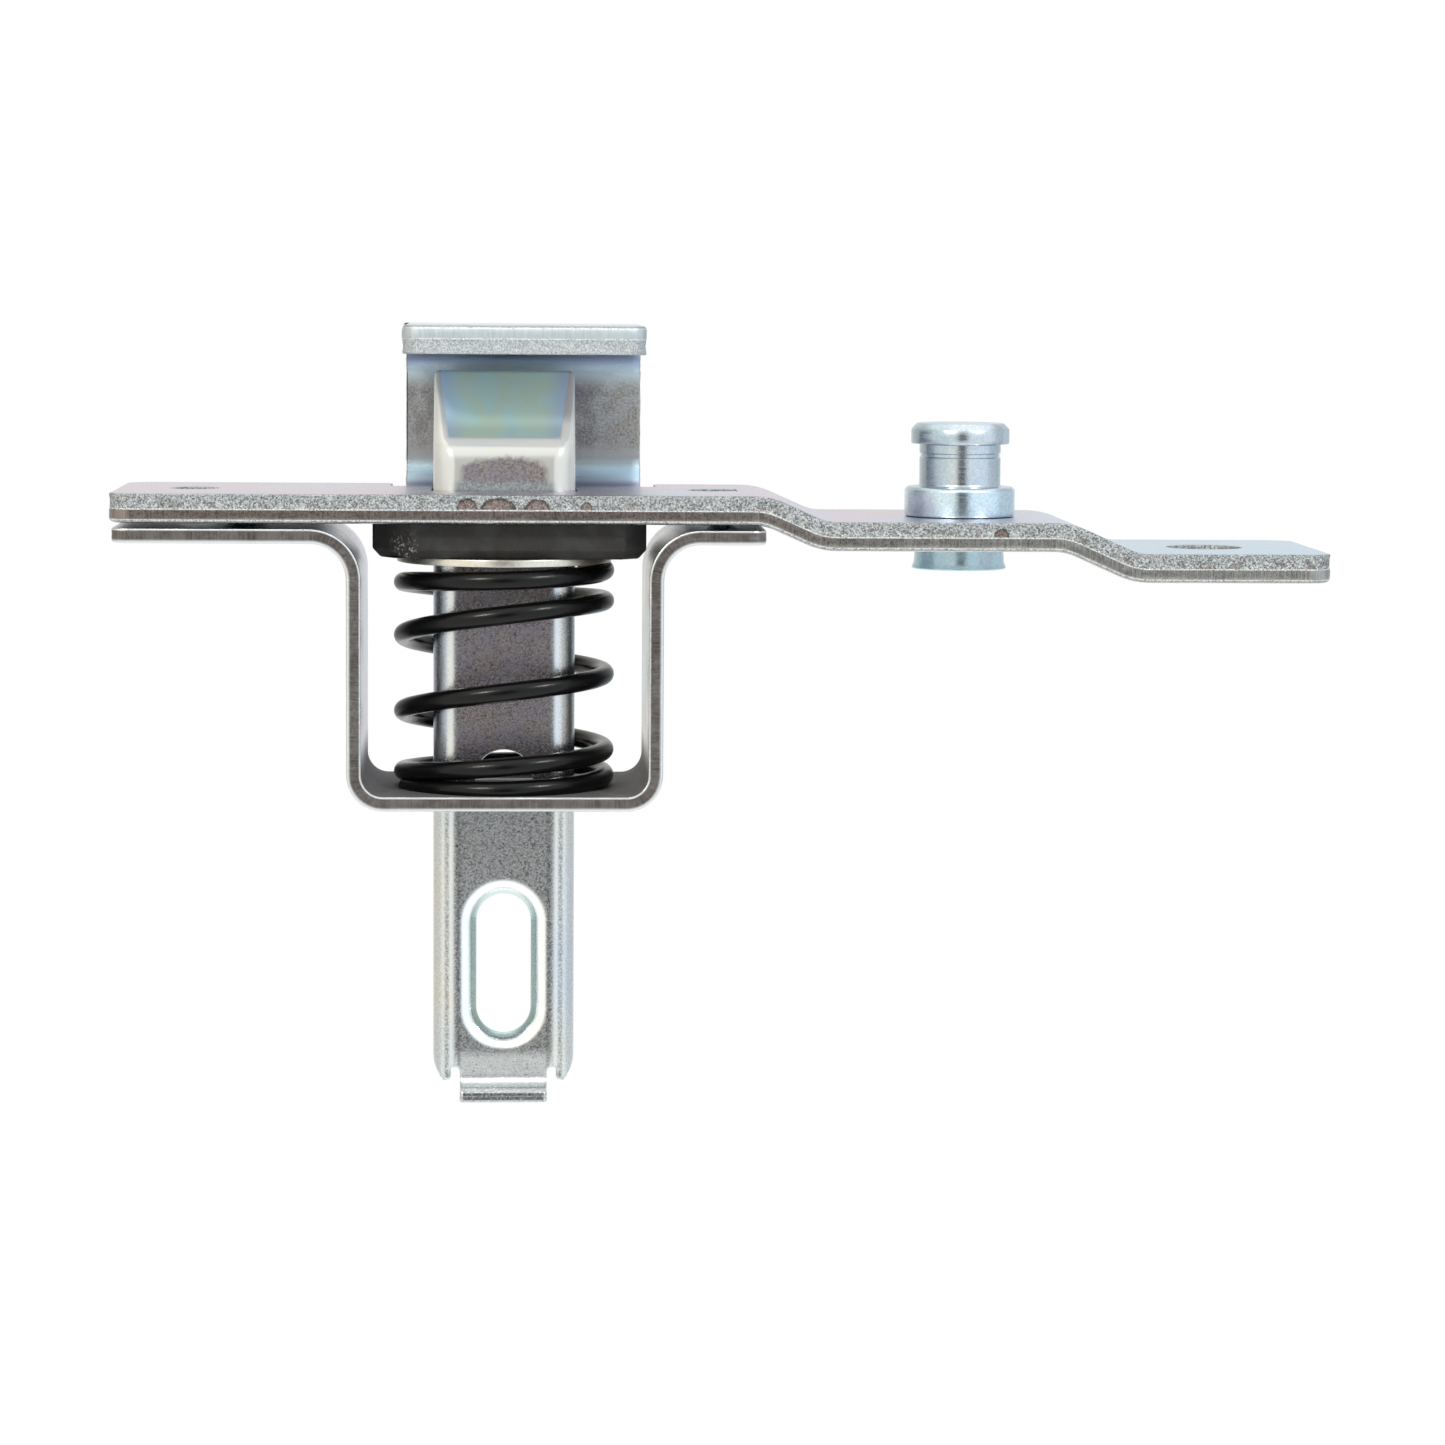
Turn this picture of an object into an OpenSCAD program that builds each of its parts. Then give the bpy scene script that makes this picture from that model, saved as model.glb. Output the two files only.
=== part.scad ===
// Sprung catch hinge for a vehicle door: a cranked plate with a keeper hook, a spring bracket
// below it, and a plunger that is pushed up into the hook by a compression spring.
// The origin is midway between the two fixing bolts, on the top face of the plate.
// +X runs along the plate to its low end, +Z up past the hook, and -Y is the open side of the hook.

/* [Hinge plate] */
// Thickness of the hinge plate
plate_t = 4; // [3:0.5:5]
// Width of the plate, front to back
plate_w = 34; // [34:1:40]
// Distance between the two fixing bolts
bolt_spacing = 72; // [71:0.5:74]
// Diameter of the two fixing holes
bolt_hole_d = 6.6; // [5.5:0.1:6.6]
// Diameter of the hole at the low end
end_hole_d = 10.5; // [8:0.5:12]
// Drop of the step before the pivot stud
step_1_drop = 3.5; // [2.5:0.5:6]
// Drop of the step after the pivot stud
step_2_drop = 4.2; // [2.6:0.2:6]

/* [Keeper hook] */
// Width of the hook along the plate
hook_w = 33.4; // [28:0.2:34]
// Clear height between the plate and the lip of the hook
hook_gap = 19; // [18:0.5:24]
// Depth of the hook's mouth, from the edge of the lip to the wall
hook_depth = 29; // [24:1:30]

/* [Spring bracket] */
// Thickness of the bracket
bracket_t = 2; // [1.5:0.5:2]
// Width of the bracket, front to back
bracket_w = 32; // [31:1:34]
// Depth of the bracket below the top face of the plate
bracket_depth = 43.5; // [40:0.5:50]

/* [Plunger] */
// Width of the plunger
plunger_w = 19.7; // [17:0.1:19.7]
// Depth of the plunger, front to back
plunger_d = 14; // [12:0.5:14]
// Height of the plunger above the plate
plunger_rise = 16.4; // [14:0.2:17]
// Thickness of the plunger's sheet
plunger_t = 1.5; // [1.2:0.1:2]

/* [Spring] */
// Diameter of the spring's wire
wire_d = 2.65; // [2:0.05:2.9]
// Outside diameter of the spring
spring_od = 30.9; // [30.9:0.1:31.2]

/* [Pivot stud] */
// Diameter of the stud's collar
collar_d = 15.5; // [14:0.5:18]
// Diameter of the stud's neck
neck_d = 11.4; // [10:0.2:12]
// Height of the stud's neck
neck_h = 6; // [4:0.2:10]

/* [Hidden] */
$fn = 64;
eps = 0.01;
past = 1;                       // how far a cutter runs past what it cuts

// Plate, along X
plate_x0 = -46.7;
plate_x1 = 120.9;
step_1_x = 40.9;
step_2_x = 82.3;
step_angle = 24;
step_r = 7;
corner_r = 3;
end_hole_x = 105.6;
stud_x = 70.9;
latch_x = 7;                    // axis of the plunger and spring

// Keeper hook
hook_x = latch_x + 2.7;
hook_wall_y = 14;               // inner face of the hook's wall
hook_foot_r = 4;
hook_lip_r = 3;
hook_corner_r = 2.5;
relief_w = 2;

// Bracket
weld_h = 0.8;                   // height of the welded projections that hold the feet off the plate
foot_top = -plate_t - weld_h;
bracket_x = latch_x + 0.15;     // middle of the bracket's floor
foot_x0 = plate_x0 + 0.3;
foot_x1 = 42.9;
bracket_inner = 39.4;
shoulder_r = 5;
floor_r = 3;
floor_top = -bracket_depth + bracket_t;

// Plunger, Z from the top face of the plate
corner_out = 3.3;
ramp_z = 6;                     // where the ramp starts on the front web
ramp_run = plunger_d - 1.5;     // front to back length of the ramp
tail_z = -82.8;
web_z = -81.7;
tab_r = 1.5;
tab_w = 12.1;
tab_len = 3.5;
slot_z = -66.2;
slot_w = 7.3;
slot_h = 19.4;
slot_rim = 1.2;                 // how far the dished rim stands out round the slot
slot_depth = 5.7;
web_hole_d = 8;
web_hole_z = -39.9;
ear_reach = 3.5;
guide_gap = 0.3;

// Buffer block and washer
block_x = latch_x + 0.7;        // middle of the block
block_w = 37.7;
block_d = 28;
block_h = 5;
block_gap = 0.05;
block_corner_far = 5.5;         // corner cuts on the side away from the stud
block_corner_near = 3;          // and on the stud's side
block_edge = 1.2;
block_top = -plate_t - block_gap;
block_bottom = block_top - block_h + block_gap;
washer_t = 1;
washer_d = 30;
washer_bottom = block_bottom - washer_t;

// Spring: turns are counted down from the front of its top coil
turn_start = -0.35;
turn_end = 4.2;
coil_steps = 28;                // rings in each turn
wire_sides = 10;
coil_r = (spring_od - wire_d) / 2;

// Stud
collar_h = 4.2;
head_d = 13.8;
head_h = 2.9;
head_edge = 1;
head_flat = 6.6;                // from the axis to each flat of the head
head_turn = -20;
shank_d = 9;
flare_top_d = 12.1;
flare_d = 13.3;
flare_h = 3.3;
neck_groove = 0.15;

// Shared shapes

// Length of the sloping flat in a step of the plate
function step_flat(drop) =
    (drop - (2 * step_r + plate_t) * (1 - cos(step_angle))) / sin(step_angle);

// Length along X of a whole step
function step_run(drop) =
    (2 * step_r + plate_t) * sin(step_angle) + step_flat(drop) * cos(step_angle);

// A rectangle with four round corners, from true circles
module rounded_rect(w, h, r) {
    square([w - 2 * r, h], center = true);
    square([w, h - 2 * r], center = true);
    for (x = [-1, 1], y = [-1, 1]) {
        translate([x * (w / 2 - r), y * (h / 2 - r)]) circle(r);
    }
}

// A slot with round ends that runs along Y
module stadium(w, h) {
    square([w, h - w], center = true);
    for (y = [-1, 1]) {
        translate([0, y * (h - w) / 2]) circle(w / 2);
    }
}

// A bent strip seen on edge is one outline. Its path lists [length] for a flat and
// [angle, inner radius] for a bend. A station is a point of the strip's lower face with its heading.
bend_step = 6;                  // most degrees that one facet of a bend turns through

function turned(v, a) = [v[0] * cos(a) - v[1] * sin(a), v[0] * sin(a) + v[1] * cos(a)];

function bend_station(p, heading, bend, t, share) =
    let (a = bend[0] * share,
         to_centre = turned([0, bend[0] > 0 ? t + bend[1] : -bend[1]], heading))
    [p + to_centre - turned(to_centre, a), heading + a];

function stations(path, t, i = 0, p = [0, 0], heading = 0) =
    i == len(path) ? [] :
    let (part = path[i],
         steps = len(part) == 1 ? 1 : ceil(abs(part[0]) / bend_step),
         new = len(part) == 1
             ? [[p + turned([part[0], 0], heading), heading]]
             : [for (k = [1:steps]) bend_station(p, heading, part, t, k / steps)],
         end = new[steps - 1])
    concat(new, stations(path, t, i + 1, end[0], end[1]));

module strip(path, t) {
    all = concat([[[0, 0], 0]], stations(path, t));
    low = [for (s = all) s[0]];
    high = [for (i = [len(all) - 1:-1:0]) all[i][0] + turned([0, t], all[i][1])];
    polygon(concat(low, high));
}

// The plunger's outline from above, open at the back, grown by gap
module plunger_outline(gap = 0) {
    w = plunger_w + 2 * gap;
    d = plunger_d + 2 * gap;
    r = corner_out + gap;
    translate([-w / 2, -d / 2 + r]) square([w, d - r]);
    translate([-w / 2 + r, -d / 2]) square([w - 2 * r, d - r]);
    for (x = [-1, 1]) {
        translate([x * (w / 2 - r), -d / 2 + r]) circle(r);
    }
}

// A hole for the plunger through a flat part
module plunger_hole(z0, z1, gap) {
    translate([latch_x, 0, z0]) linear_extrude(z1 - z0) plunger_outline(gap);
}

module fixing_holes(z0, z1) {
    for (x = [-1, 1] * bolt_spacing / 2) {
        translate([x, 0, z0]) cylinder(d = bolt_hole_d, h = z1 - z0);
    }
}

// Hinge plate

module plate_strip() {
    run_1 = step_run(step_1_drop);
    run_2 = step_run(step_2_drop);
    path = [[step_1_x - plate_x0],
            [-step_angle, step_r], [step_flat(step_1_drop)], [step_angle, step_r],
            [step_2_x - step_1_x - run_1],
            [-step_angle, step_r], [step_flat(step_2_drop)], [step_angle, step_r],
            [plate_x1 - step_2_x - run_2]];
    translate([plate_x0, plate_w / 2, -plate_t])
        rotate([90, 0, 0]) linear_extrude(plate_w) strip(path, plate_t);
}

module plate_plan() {
    length = plate_x1 - plate_x0;
    translate([(plate_x0 + plate_x1) / 2, 0, -50])
        linear_extrude(100) rounded_rect(length, plate_w, corner_r);
}

module keeper_hook() {
    start = 9;
    path = [[hook_wall_y - hook_foot_r - start], [90, hook_foot_r],
            [hook_gap - hook_foot_r - hook_lip_r], [90, hook_lip_r],
            [hook_depth - hook_lip_r]];
    front = hook_wall_y - hook_depth;
    intersection() {
        translate([hook_x - hook_w / 2, start, -plate_t])
            rotate([90, 0, 90]) linear_extrude(hook_w) strip(path, plate_t);
        translate([hook_x, front + hook_depth, -plate_t - past])
            linear_extrude(hook_gap + 3 * plate_t)
                rounded_rect(hook_w, 2 * hook_depth, hook_corner_r);
    }
}

// Relief notches that free the hook's foot from the plate's back edge
module hook_reliefs() {
    notch_y = hook_wall_y - hook_foot_r;
    for (x = [-1, 1] * (hook_w + relief_w) / 2) {
        translate([hook_x + x, notch_y, -plate_t - past]) {
            cylinder(d = relief_w, h = plate_t + 2 * past);
            translate([-relief_w / 2, 0, 0]) cube([relief_w, plate_w, plate_t + 2 * past]);
        }
    }
}

// The plate's back edge is cut away where the hook's foot rises from it
module hook_back_cut() {
    translate([hook_x - hook_w / 2, hook_wall_y - hook_foot_r, -plate_t - past])
        cube([hook_w, plate_w, plate_t + 2 * past]);
}

module hinge_plate() {
    color("silver") difference() {
        union() {
            difference() {
                intersection() {
                    plate_strip();
                    plate_plan();
                }
                hook_back_cut();
                hook_reliefs();
            }
            keeper_hook();
        }
        plunger_hole(-plate_t - past, past, guide_gap);
        fixing_holes(-plate_t - past, past);
        translate([end_hole_x, 0, -30]) cylinder(d = end_hole_d, h = 40);
        translate([stud_x, 0, -30]) cylinder(d = shank_d, h = 40);
    }
}

// Spring bracket

module bracket_strip() {
    half = bracket_inner / 2 + bracket_t;
    left_flat = bracket_x - half - shoulder_r - foot_x0;
    right_flat = foot_x1 - (bracket_x + half + shoulder_r);
    leg = bracket_depth + foot_top - bracket_t - shoulder_r - floor_r - bracket_t;
    path = [[left_flat], [-90, shoulder_r], [leg], [90, floor_r],
            [bracket_inner - 2 * floor_r],
            [90, floor_r], [leg], [-90, shoulder_r], [right_flat]];
    translate([foot_x0, bracket_w / 2, foot_top - bracket_t])
        rotate([90, 0, 0]) linear_extrude(bracket_w) strip(path, bracket_t);
}

// Projections that are welded to the underside of the plate
module weld_projections() {
    for (y = [-1, 1]) {
        translate([-28.7, y * 9, foot_top - eps]) cylinder(d = 6, h = weld_h + eps);
        translate([37, y * 10, foot_top - eps]) cylinder(d = 4.5, h = weld_h + eps);
    }
}

module spring_bracket() {
    color("gainsboro") difference() {
        union() {
            bracket_strip();
            weld_projections();
        }
        plunger_hole(-bracket_depth - past, floor_top + past, guide_gap);
        fixing_holes(foot_top - bracket_t - past, -plate_t + past);
    }
}

// Plunger: a pressed channel that is closed by a ramp at the top

// Side view of the plunger's closed top, set in from its outside by t
module ramp_side(t) {
    front = -plunger_d / 2;
    slope = (plunger_rise - ramp_z) / ramp_run;
    drop = t * sqrt(1 + slope * slope);
    top = plunger_rise - t;
    top_y = front + (top - ramp_z + drop) / slope;
    low = tail_z - past;
    polygon([[front, low], [front, ramp_z - drop], [top_y, top],
             [plunger_d / 2 + past, top], [plunger_d / 2 + past, low]]);
}

module ramp_solid(t) {
    translate([-plunger_w, 0, 0]) rotate([90, 0, 90]) linear_extrude(2 * plunger_w) ramp_side(t);
}

module channel() {
    inner_w = plunger_w - 2 * plunger_t;
    inner_r = corner_out - plunger_t;
    front = -plunger_d / 2 + plunger_t;
    difference() {
        intersection() {
            translate([0, 0, tail_z]) linear_extrude(plunger_rise - tail_z) plunger_outline();
            ramp_solid(0);
        }
        intersection() {
            translate([0, 0, tail_z - past]) linear_extrude(plunger_rise - tail_z) {
                translate([-inner_w / 2, front + inner_r]) square([inner_w, 2 * plunger_d]);
                translate([-inner_w / 2 + inner_r, front])
                    square([inner_w - 2 * inner_r, plunger_d]);
                for (x = [-1, 1]) {
                    translate([x * (inner_w / 2 - inner_r), front + inner_r]) circle(inner_r);
                }
            }
            ramp_solid(plunger_t);
        }
    }
}

// Ears behind the flanges: they take the washer's push and stop under the plate
module ears() {
    ear_h = block_h - 0.2;
    for (x = [-1, 1]) {
        translate([x * (plunger_w / 2 - plunger_t / 2) - plunger_t / 2,
                   plunger_d / 2 - past, block_bottom + 0.05])
            cube([plunger_t, ear_reach + past, ear_h]);
    }
}

// The web's lower end, bent forward
module tail_tab() {
    path = [[1], [90, tab_r], [tab_len]];
    translate([tab_w / 2, -plunger_d / 2, web_z + 1])
        rotate([90, 90, -90]) linear_extrude(tab_w) strip(path, plunger_t);
}

module slot_collar() {
    translate([0, -plunger_d / 2 + slot_depth, slot_z]) rotate([90, 0, 0])
        linear_extrude(slot_depth - plunger_t / 2)
            stadium(slot_w + 2 * slot_rim + 1, slot_h + 2 * slot_rim + 1);
}

module slot_cut() {
    translate([0, plunger_d, slot_z]) rotate([90, 0, 0])
        linear_extrude(2 * plunger_d) stadium(slot_w, slot_h);
    translate([0, -plunger_d / 2 + 0.8, slot_z]) rotate([90, 0, 0])
        linear_extrude(past + 0.8) stadium(slot_w + 2 * slot_rim, slot_h + 2 * slot_rim);
}

module plunger() {
    web_below = web_z - tail_z;
    color("lightgray") translate([latch_x, 0, 0]) difference() {
        union() {
            difference() {
                channel();
                translate([-(plunger_w / 2 - corner_out / 2), -plunger_d, tail_z - past])
                    cube([plunger_w - corner_out, plunger_d, web_below + past]);
            }
            ears();
            tail_tab();
            slot_collar();
        }
        slot_cut();
        translate([0, 0, web_hole_z]) rotate([90, 0, 0])
            cylinder(d = web_hole_d, h = plunger_d);
    }
}

// Buffer block: a moulded guide that rides under the plate on the plunger

module block_side(length) {
    polygon([[-length / 2, block_top], [-length / 2, block_bottom + block_edge],
             [-length / 2 + block_edge, block_bottom], [length / 2 - block_edge, block_bottom],
             [length / 2, block_bottom + block_edge], [length / 2, block_top]]);
}

module block_plan() {
    w = block_w / 2;
    d = block_d / 2;
    a = block_corner_far;
    b = block_corner_near;
    polygon([[-w + a, -d], [w - b, -d], [w, -d + b], [w, d - b],
             [w - b, d], [-w + a, d], [-w, d - a], [-w, -d + a]]);
}

module buffer_block() {
    ear_slot = plunger_t + 0.6;
    color("dimgray") difference() {
        translate([block_x, 0, 0]) intersection() {
            translate([0, 0, block_bottom - past])
                linear_extrude(block_h + 2 * past) block_plan();
            translate([0, block_d, 0]) rotate([90, 0, 0])
                linear_extrude(2 * block_d) block_side(block_w);
            translate([-block_w, 0, 0]) rotate([90, 0, 90])
                linear_extrude(2 * block_w) block_side(block_d);
        }
        plunger_hole(block_bottom - past, block_top + past, guide_gap / 2);
        for (x = [-1, 1]) {
            translate([latch_x + x * (plunger_w - plunger_t) / 2 - ear_slot / 2, 0,
                       block_bottom - past])
                cube([ear_slot, plunger_d / 2 + ear_reach + 0.3, block_h + 2 * past]);
        }
    }
}

module spring_washer() {
    color("silver") difference() {
        translate([latch_x, 0, washer_bottom]) cylinder(d = washer_d, h = washer_t);
        plunger_hole(washer_bottom - past, block_bottom + past, guide_gap / 2);
    }
}

// Compression spring: closed, ground ends and a wide middle pitch

spring_top = washer_bottom - wire_d / 2;
spring_low = floor_top + wire_d / 2;
rest_turn = -0.2;               // where the top coil first bears on the washer
seat_turn = 3.8;                // where the bottom coil meets the bracket
open_turn = 0.5;                // where the pitch starts to widen
close_turn = 2.762;             // where it starts to close again
ease_turns = 0.5;               // turns over which it widens or closes
end_pitch = wire_d + 0.1;
extra_pitch = (spring_top - spring_low - end_pitch * (seat_turn - rest_turn))
              / (close_turn - open_turn);
lean = 2.4;                     // how much lower each middle coil is at the back than at the front
lean_from = [0, 0.6];           // turns over which the lean sets in
lean_to = [3, 3.7];             // and dies out

// Integral of a smooth step from 0 to 1
function eased(u) = u < 0 ? 0 : u > 1 ? u - 0.5 : pow(u, 3) - pow(u, 4) / 2;

// Smooth step from 0 at the first of two turns to 1 at the second
function smooth(turn, span) =
    let (u = min(1, max(0, (turn - span[0]) / (span[1] - span[0]))))
    u * u * (3 - 2 * u);

function coil_z(turn) =
    spring_top - end_pitch * (turn - rest_turn)
    - extra_pitch * ease_turns * (eased((turn - open_turn) / ease_turns)
                                  - eased((turn - close_turn) / ease_turns))
    - lean * (smooth(turn, lean_from) - smooth(turn, lean_to)) * (1 - cos(360 * turn)) / 2;

// Angle 0 is the spring's front, and the coil is right-handed
function coil_point(turn, side) =
    let (a = -90 - 360 * turn,
         s = 360 * side / wire_sides,
         r = coil_r + wire_d / 2 * cos(s))
    [r * cos(a), r * sin(a), coil_z(turn) + wire_d / 2 * sin(s)];

module coil() {
    rings = floor((turn_end - turn_start) * coil_steps);
    points = [for (i = [0:rings], s = [0:wire_sides - 1])
        coil_point(turn_start + i / coil_steps, s)];
    sides = [for (i = [0:rings - 1], s = [0:wire_sides - 1])
        let (a = i * wire_sides, n = (s + 1) % wire_sides)
        [a + s, a + n, a + wire_sides + n, a + wire_sides + s]];
    first = [for (s = [wire_sides - 1:-1:0]) s];
    last = [for (s = [0:wire_sides - 1]) rings * wire_sides + s];
    polyhedron(points, concat(sides, [first, last]), convexity = 10);
}

module compression_spring() {
    color("black") intersection() {
        translate([latch_x, 0, 0]) coil();
        translate([latch_x - spring_od, -spring_od, floor_top])
            cube([2 * spring_od, 2 * spring_od, washer_bottom - floor_top]);
    }
}

// Pivot stud: riveted through the plate between its two steps

module stud_profile() {
    neck = collar_h + neck_h;
    top = neck + head_h;
    polygon([[0, -plate_t - flare_h], [flare_d / 2, -plate_t - flare_h],
             [flare_top_d / 2, -plate_t], [shank_d / 2, -plate_t], [shank_d / 2, 0],
             [collar_d / 2, 0], [collar_d / 2, collar_h], [neck_d / 2, collar_h],
             [neck_d / 2, neck - 2], [neck_d / 2 - neck_groove, neck - 1.6],
             [neck_d / 2, neck - 1.2], [neck_d / 2, neck], [head_d / 2, neck],
             [head_d / 2, top - head_edge], [head_d / 2 - head_edge, top], [0, top]]);
}

module pivot_stud() {
    color("lightsteelblue") translate([stud_x, 0, -step_1_drop]) difference() {
        rotate_extrude() stud_profile();
        rotate(head_turn) {
            for (side = [0, 180]) {
                rotate(side) translate([head_flat, -head_d, collar_h + neck_h])
                    cube([head_d, 2 * head_d, head_h + past]);
            }
        }
        translate([0, 0, -plate_t - flare_h - past])
            cylinder(d1 = flare_d - 1, d2 = shank_d - 3, h = flare_h + past);
    }
}

hinge_plate();
spring_bracket();
plunger();
buffer_block();
spring_washer();
compression_spring();
pivot_stud();
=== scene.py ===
"""The looks of a sprung door catch hinge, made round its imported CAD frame. Lengths are in millimetres."""
import math

import bmesh
import bpy
import numpy as np
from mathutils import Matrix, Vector, noise
from mathutils.geometry import delaunay_2d_cdt, tessellate_polygon


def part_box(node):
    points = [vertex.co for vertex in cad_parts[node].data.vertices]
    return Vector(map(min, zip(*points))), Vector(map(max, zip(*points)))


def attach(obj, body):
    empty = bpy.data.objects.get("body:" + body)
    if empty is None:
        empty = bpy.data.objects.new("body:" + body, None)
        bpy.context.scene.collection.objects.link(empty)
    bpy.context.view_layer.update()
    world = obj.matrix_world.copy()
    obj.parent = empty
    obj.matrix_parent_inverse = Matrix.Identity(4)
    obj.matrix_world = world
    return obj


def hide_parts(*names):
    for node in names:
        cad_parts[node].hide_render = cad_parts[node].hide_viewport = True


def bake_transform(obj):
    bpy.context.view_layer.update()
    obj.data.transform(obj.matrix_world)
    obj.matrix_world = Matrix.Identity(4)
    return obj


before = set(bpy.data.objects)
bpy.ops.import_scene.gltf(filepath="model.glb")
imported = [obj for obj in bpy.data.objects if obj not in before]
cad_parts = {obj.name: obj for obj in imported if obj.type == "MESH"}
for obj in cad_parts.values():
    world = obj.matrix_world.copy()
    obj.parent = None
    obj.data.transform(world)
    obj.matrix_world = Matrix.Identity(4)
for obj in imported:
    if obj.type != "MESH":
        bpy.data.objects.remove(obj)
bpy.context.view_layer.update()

MM = 0.001
FIXED = "hinge_frame"
MOVING = "catch_plunger"


def box_mm(node):
    low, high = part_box(node)
    return Vector(low) / MM, Vector(high) / MM


PLATE_LO, PLATE_HI = box_mm("hinge_plate")
BRACKET_LO, BRACKET_HI = box_mm("spring_bracket")
PLUNGER_LO, PLUNGER_HI = box_mm("plunger")
BLOCK_LO, BLOCK_HI = box_mm("buffer_block")
WASHER_LO, WASHER_HI = box_mm("spring_washer")
SPRING_LO, SPRING_HI = box_mm("compression_spring")
STUD_LO, STUD_HI = box_mm("pivot_stud")

LATCH_X = (PLUNGER_LO.x + PLUNGER_HI.x) / 2
STUD_X = (STUD_LO.x + STUD_HI.x) / 2
FRONT_Y = PLATE_LO.y
HALF_DEPTH = -FRONT_Y


# ---- Outlines ----

def arc(cx, cy, r, start, end, steps):
    """Points of a circular arc from start to end degrees, both ends included."""
    angles = [math.radians(start + (end - start) * i / steps) for i in range(steps + 1)]
    return [(cx + r * math.cos(a), cy + r * math.sin(a)) for a in angles]


def corner(x, y, r, start, steps):
    """Rounds the corner at (x, y), from start degrees through a quarter turn."""
    a = math.radians(start + 45)
    cx, cy = x - math.copysign(r, math.cos(a)), y - math.copysign(r, math.sin(a))
    return arc(cx, cy, r, start, start + 90, steps)


def circle(cx, cy, r, steps=48):
    return arc(cx, cy, r, 0, 360 * (1 - 1 / steps), steps - 1)


def stadium(cy, r, half_run, steps=28):
    """A slot's outline with round ends of radius r, along the second axis."""
    return arc(0, cy + half_run, r, 0, 180, steps) + arc(0, cy - half_run, r, 180, 360, steps)


def spaced(start, end, step):
    """Evenly spaced values strictly between start and end, about step apart."""
    count = max(1, round((end - start) / step))
    return [start + (end - start) * i / count for i in range(1, count)]


# ---- Bent sheet ----

class Strip:
    """A strip bent along its length. Flats are (length,) and bends are (degrees, inner radius)."""

    def __init__(self, path, t, x, z, heading=0.0):
        """x and z place the start of the strip's upper face, and heading is its direction there."""
        self.t = t
        self.parts = []
        s, mid = 0.0, Vector((x, z)) - self._up(heading) * (t / 2)
        for part in path:
            if len(part) == 1:
                length, turn = part[0], 0.0
            else:
                turn = math.radians(part[0])
                length = abs(turn) * (part[1] + t / 2)
            self.parts.append((s, length, mid.copy(), heading, turn))
            mid, heading = self._step(mid, heading, length, turn, length)
            s += length
        self.length = s

    @staticmethod
    def _up(heading):
        return Vector((-math.sin(heading), math.cos(heading)))

    def _step(self, mid, heading, length, turn, run):
        if turn == 0:
            return mid + Vector((math.cos(heading), math.sin(heading))) * run, heading
        r = length / turn
        a = heading + turn * run / length
        return mid + self._up(heading) * r - self._up(a) * r, a

    def at(self, s):
        """The point of the upper face at s along the middle of the sheet."""
        part = next((p for p in self.parts if s < p[0] + p[1]), self.parts[-1])
        mid, heading = self._step(part[2], part[3], part[1], part[4], s - part[0])
        return mid + self._up(heading) * (self.t / 2)

    def lines(self, flat_step, bend_step):
        """Places for cross lines: bend_step degrees apart in bends, flat_step apart on flats."""
        found = []
        for s, length, _, _, turn in self.parts:
            step = flat_step if turn == 0 else length * bend_step / abs(math.degrees(turn))
            found += [s] + spaced(s, s + length, step)
        return found[1:]


def inside_point(points):
    """A point well inside a flat polygon: the middle of its largest triangle."""
    flat = [Vector((p[0], p[1], 0)) for p in points]
    best, best_area = None, -1
    for tri in tessellate_polygon([flat]):
        a, b, c = (flat[i] for i in tri)
        area = (b - a).cross(c - a).length
        if area > best_area:
            best, best_area = (a + b + c) / 3, area
    return best.x, best.y


def contains(loop, x, y):
    hit = False
    for (ax, ay), (bx, by) in zip(loop, loop[1:] + loop[:1]):
        if (ay > y) != (by > y) and x < ax + (y - ay) * (bx - ax) / (by - ay):
            hit = not hit
    return hit


def cells(outer, holes, guides, lines_u, lines_v):
    """Splits a flat pattern into cells along its guide loops and grid lines."""
    points, edges = [], []

    def add(run, closed):
        first = len(points)
        points.extend(Vector(p) for p in run)
        last = len(points) - 1
        edges.extend((i, i + 1) for i in range(first, last))
        if closed:
            edges.append((last, first))

    for loop in [outer] + holes + guides:
        add(loop, True)
    us, vs = [p[0] for p in outer], [p[1] for p in outer]
    for u in lines_u:
        add([(u, min(vs) - 1), (u, max(vs) + 1)], False)
    for v in lines_v:
        add([(min(us) - 1, v), (max(us) + 1, v)], False)
    verts, _, faces, _, _, _ = delaunay_2d_cdt(points, edges, [], 4, 1e-5, False)
    kept = []
    for face in faces:
        x, y = inside_point([verts[i] for i in face])
        if contains(outer, x, y) and not any(contains(h, x, y) for h in holes):
            kept.append(list(face))
    return verts, kept


def rims(verts, faces, is_free):
    """Directed edges of the pattern's rims, and each rim point's inward direction."""
    seen = [(a, b) for face in faces for a, b in zip(face, face[1:] + face[:1])]
    both = set(seen)
    edges = [(a, b) for a, b in seen if (b, a) not in both and is_free(verts[a], verts[b])]
    normals = {}
    for a, b in edges:
        d = (verts[b] - verts[a]).normalized()
        for i in (a, b):
            normals.setdefault(i, []).append(Vector((-d.y, d.x)))
    inward = {}
    for i, found in normals.items():
        if len(found) == 1:
            inward[i] = found[0]
        else:
            inward[i] = (found[0] + found[1]) / (1 + max(-0.5, found[0].dot(found[1])))
    return edges, inward


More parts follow.
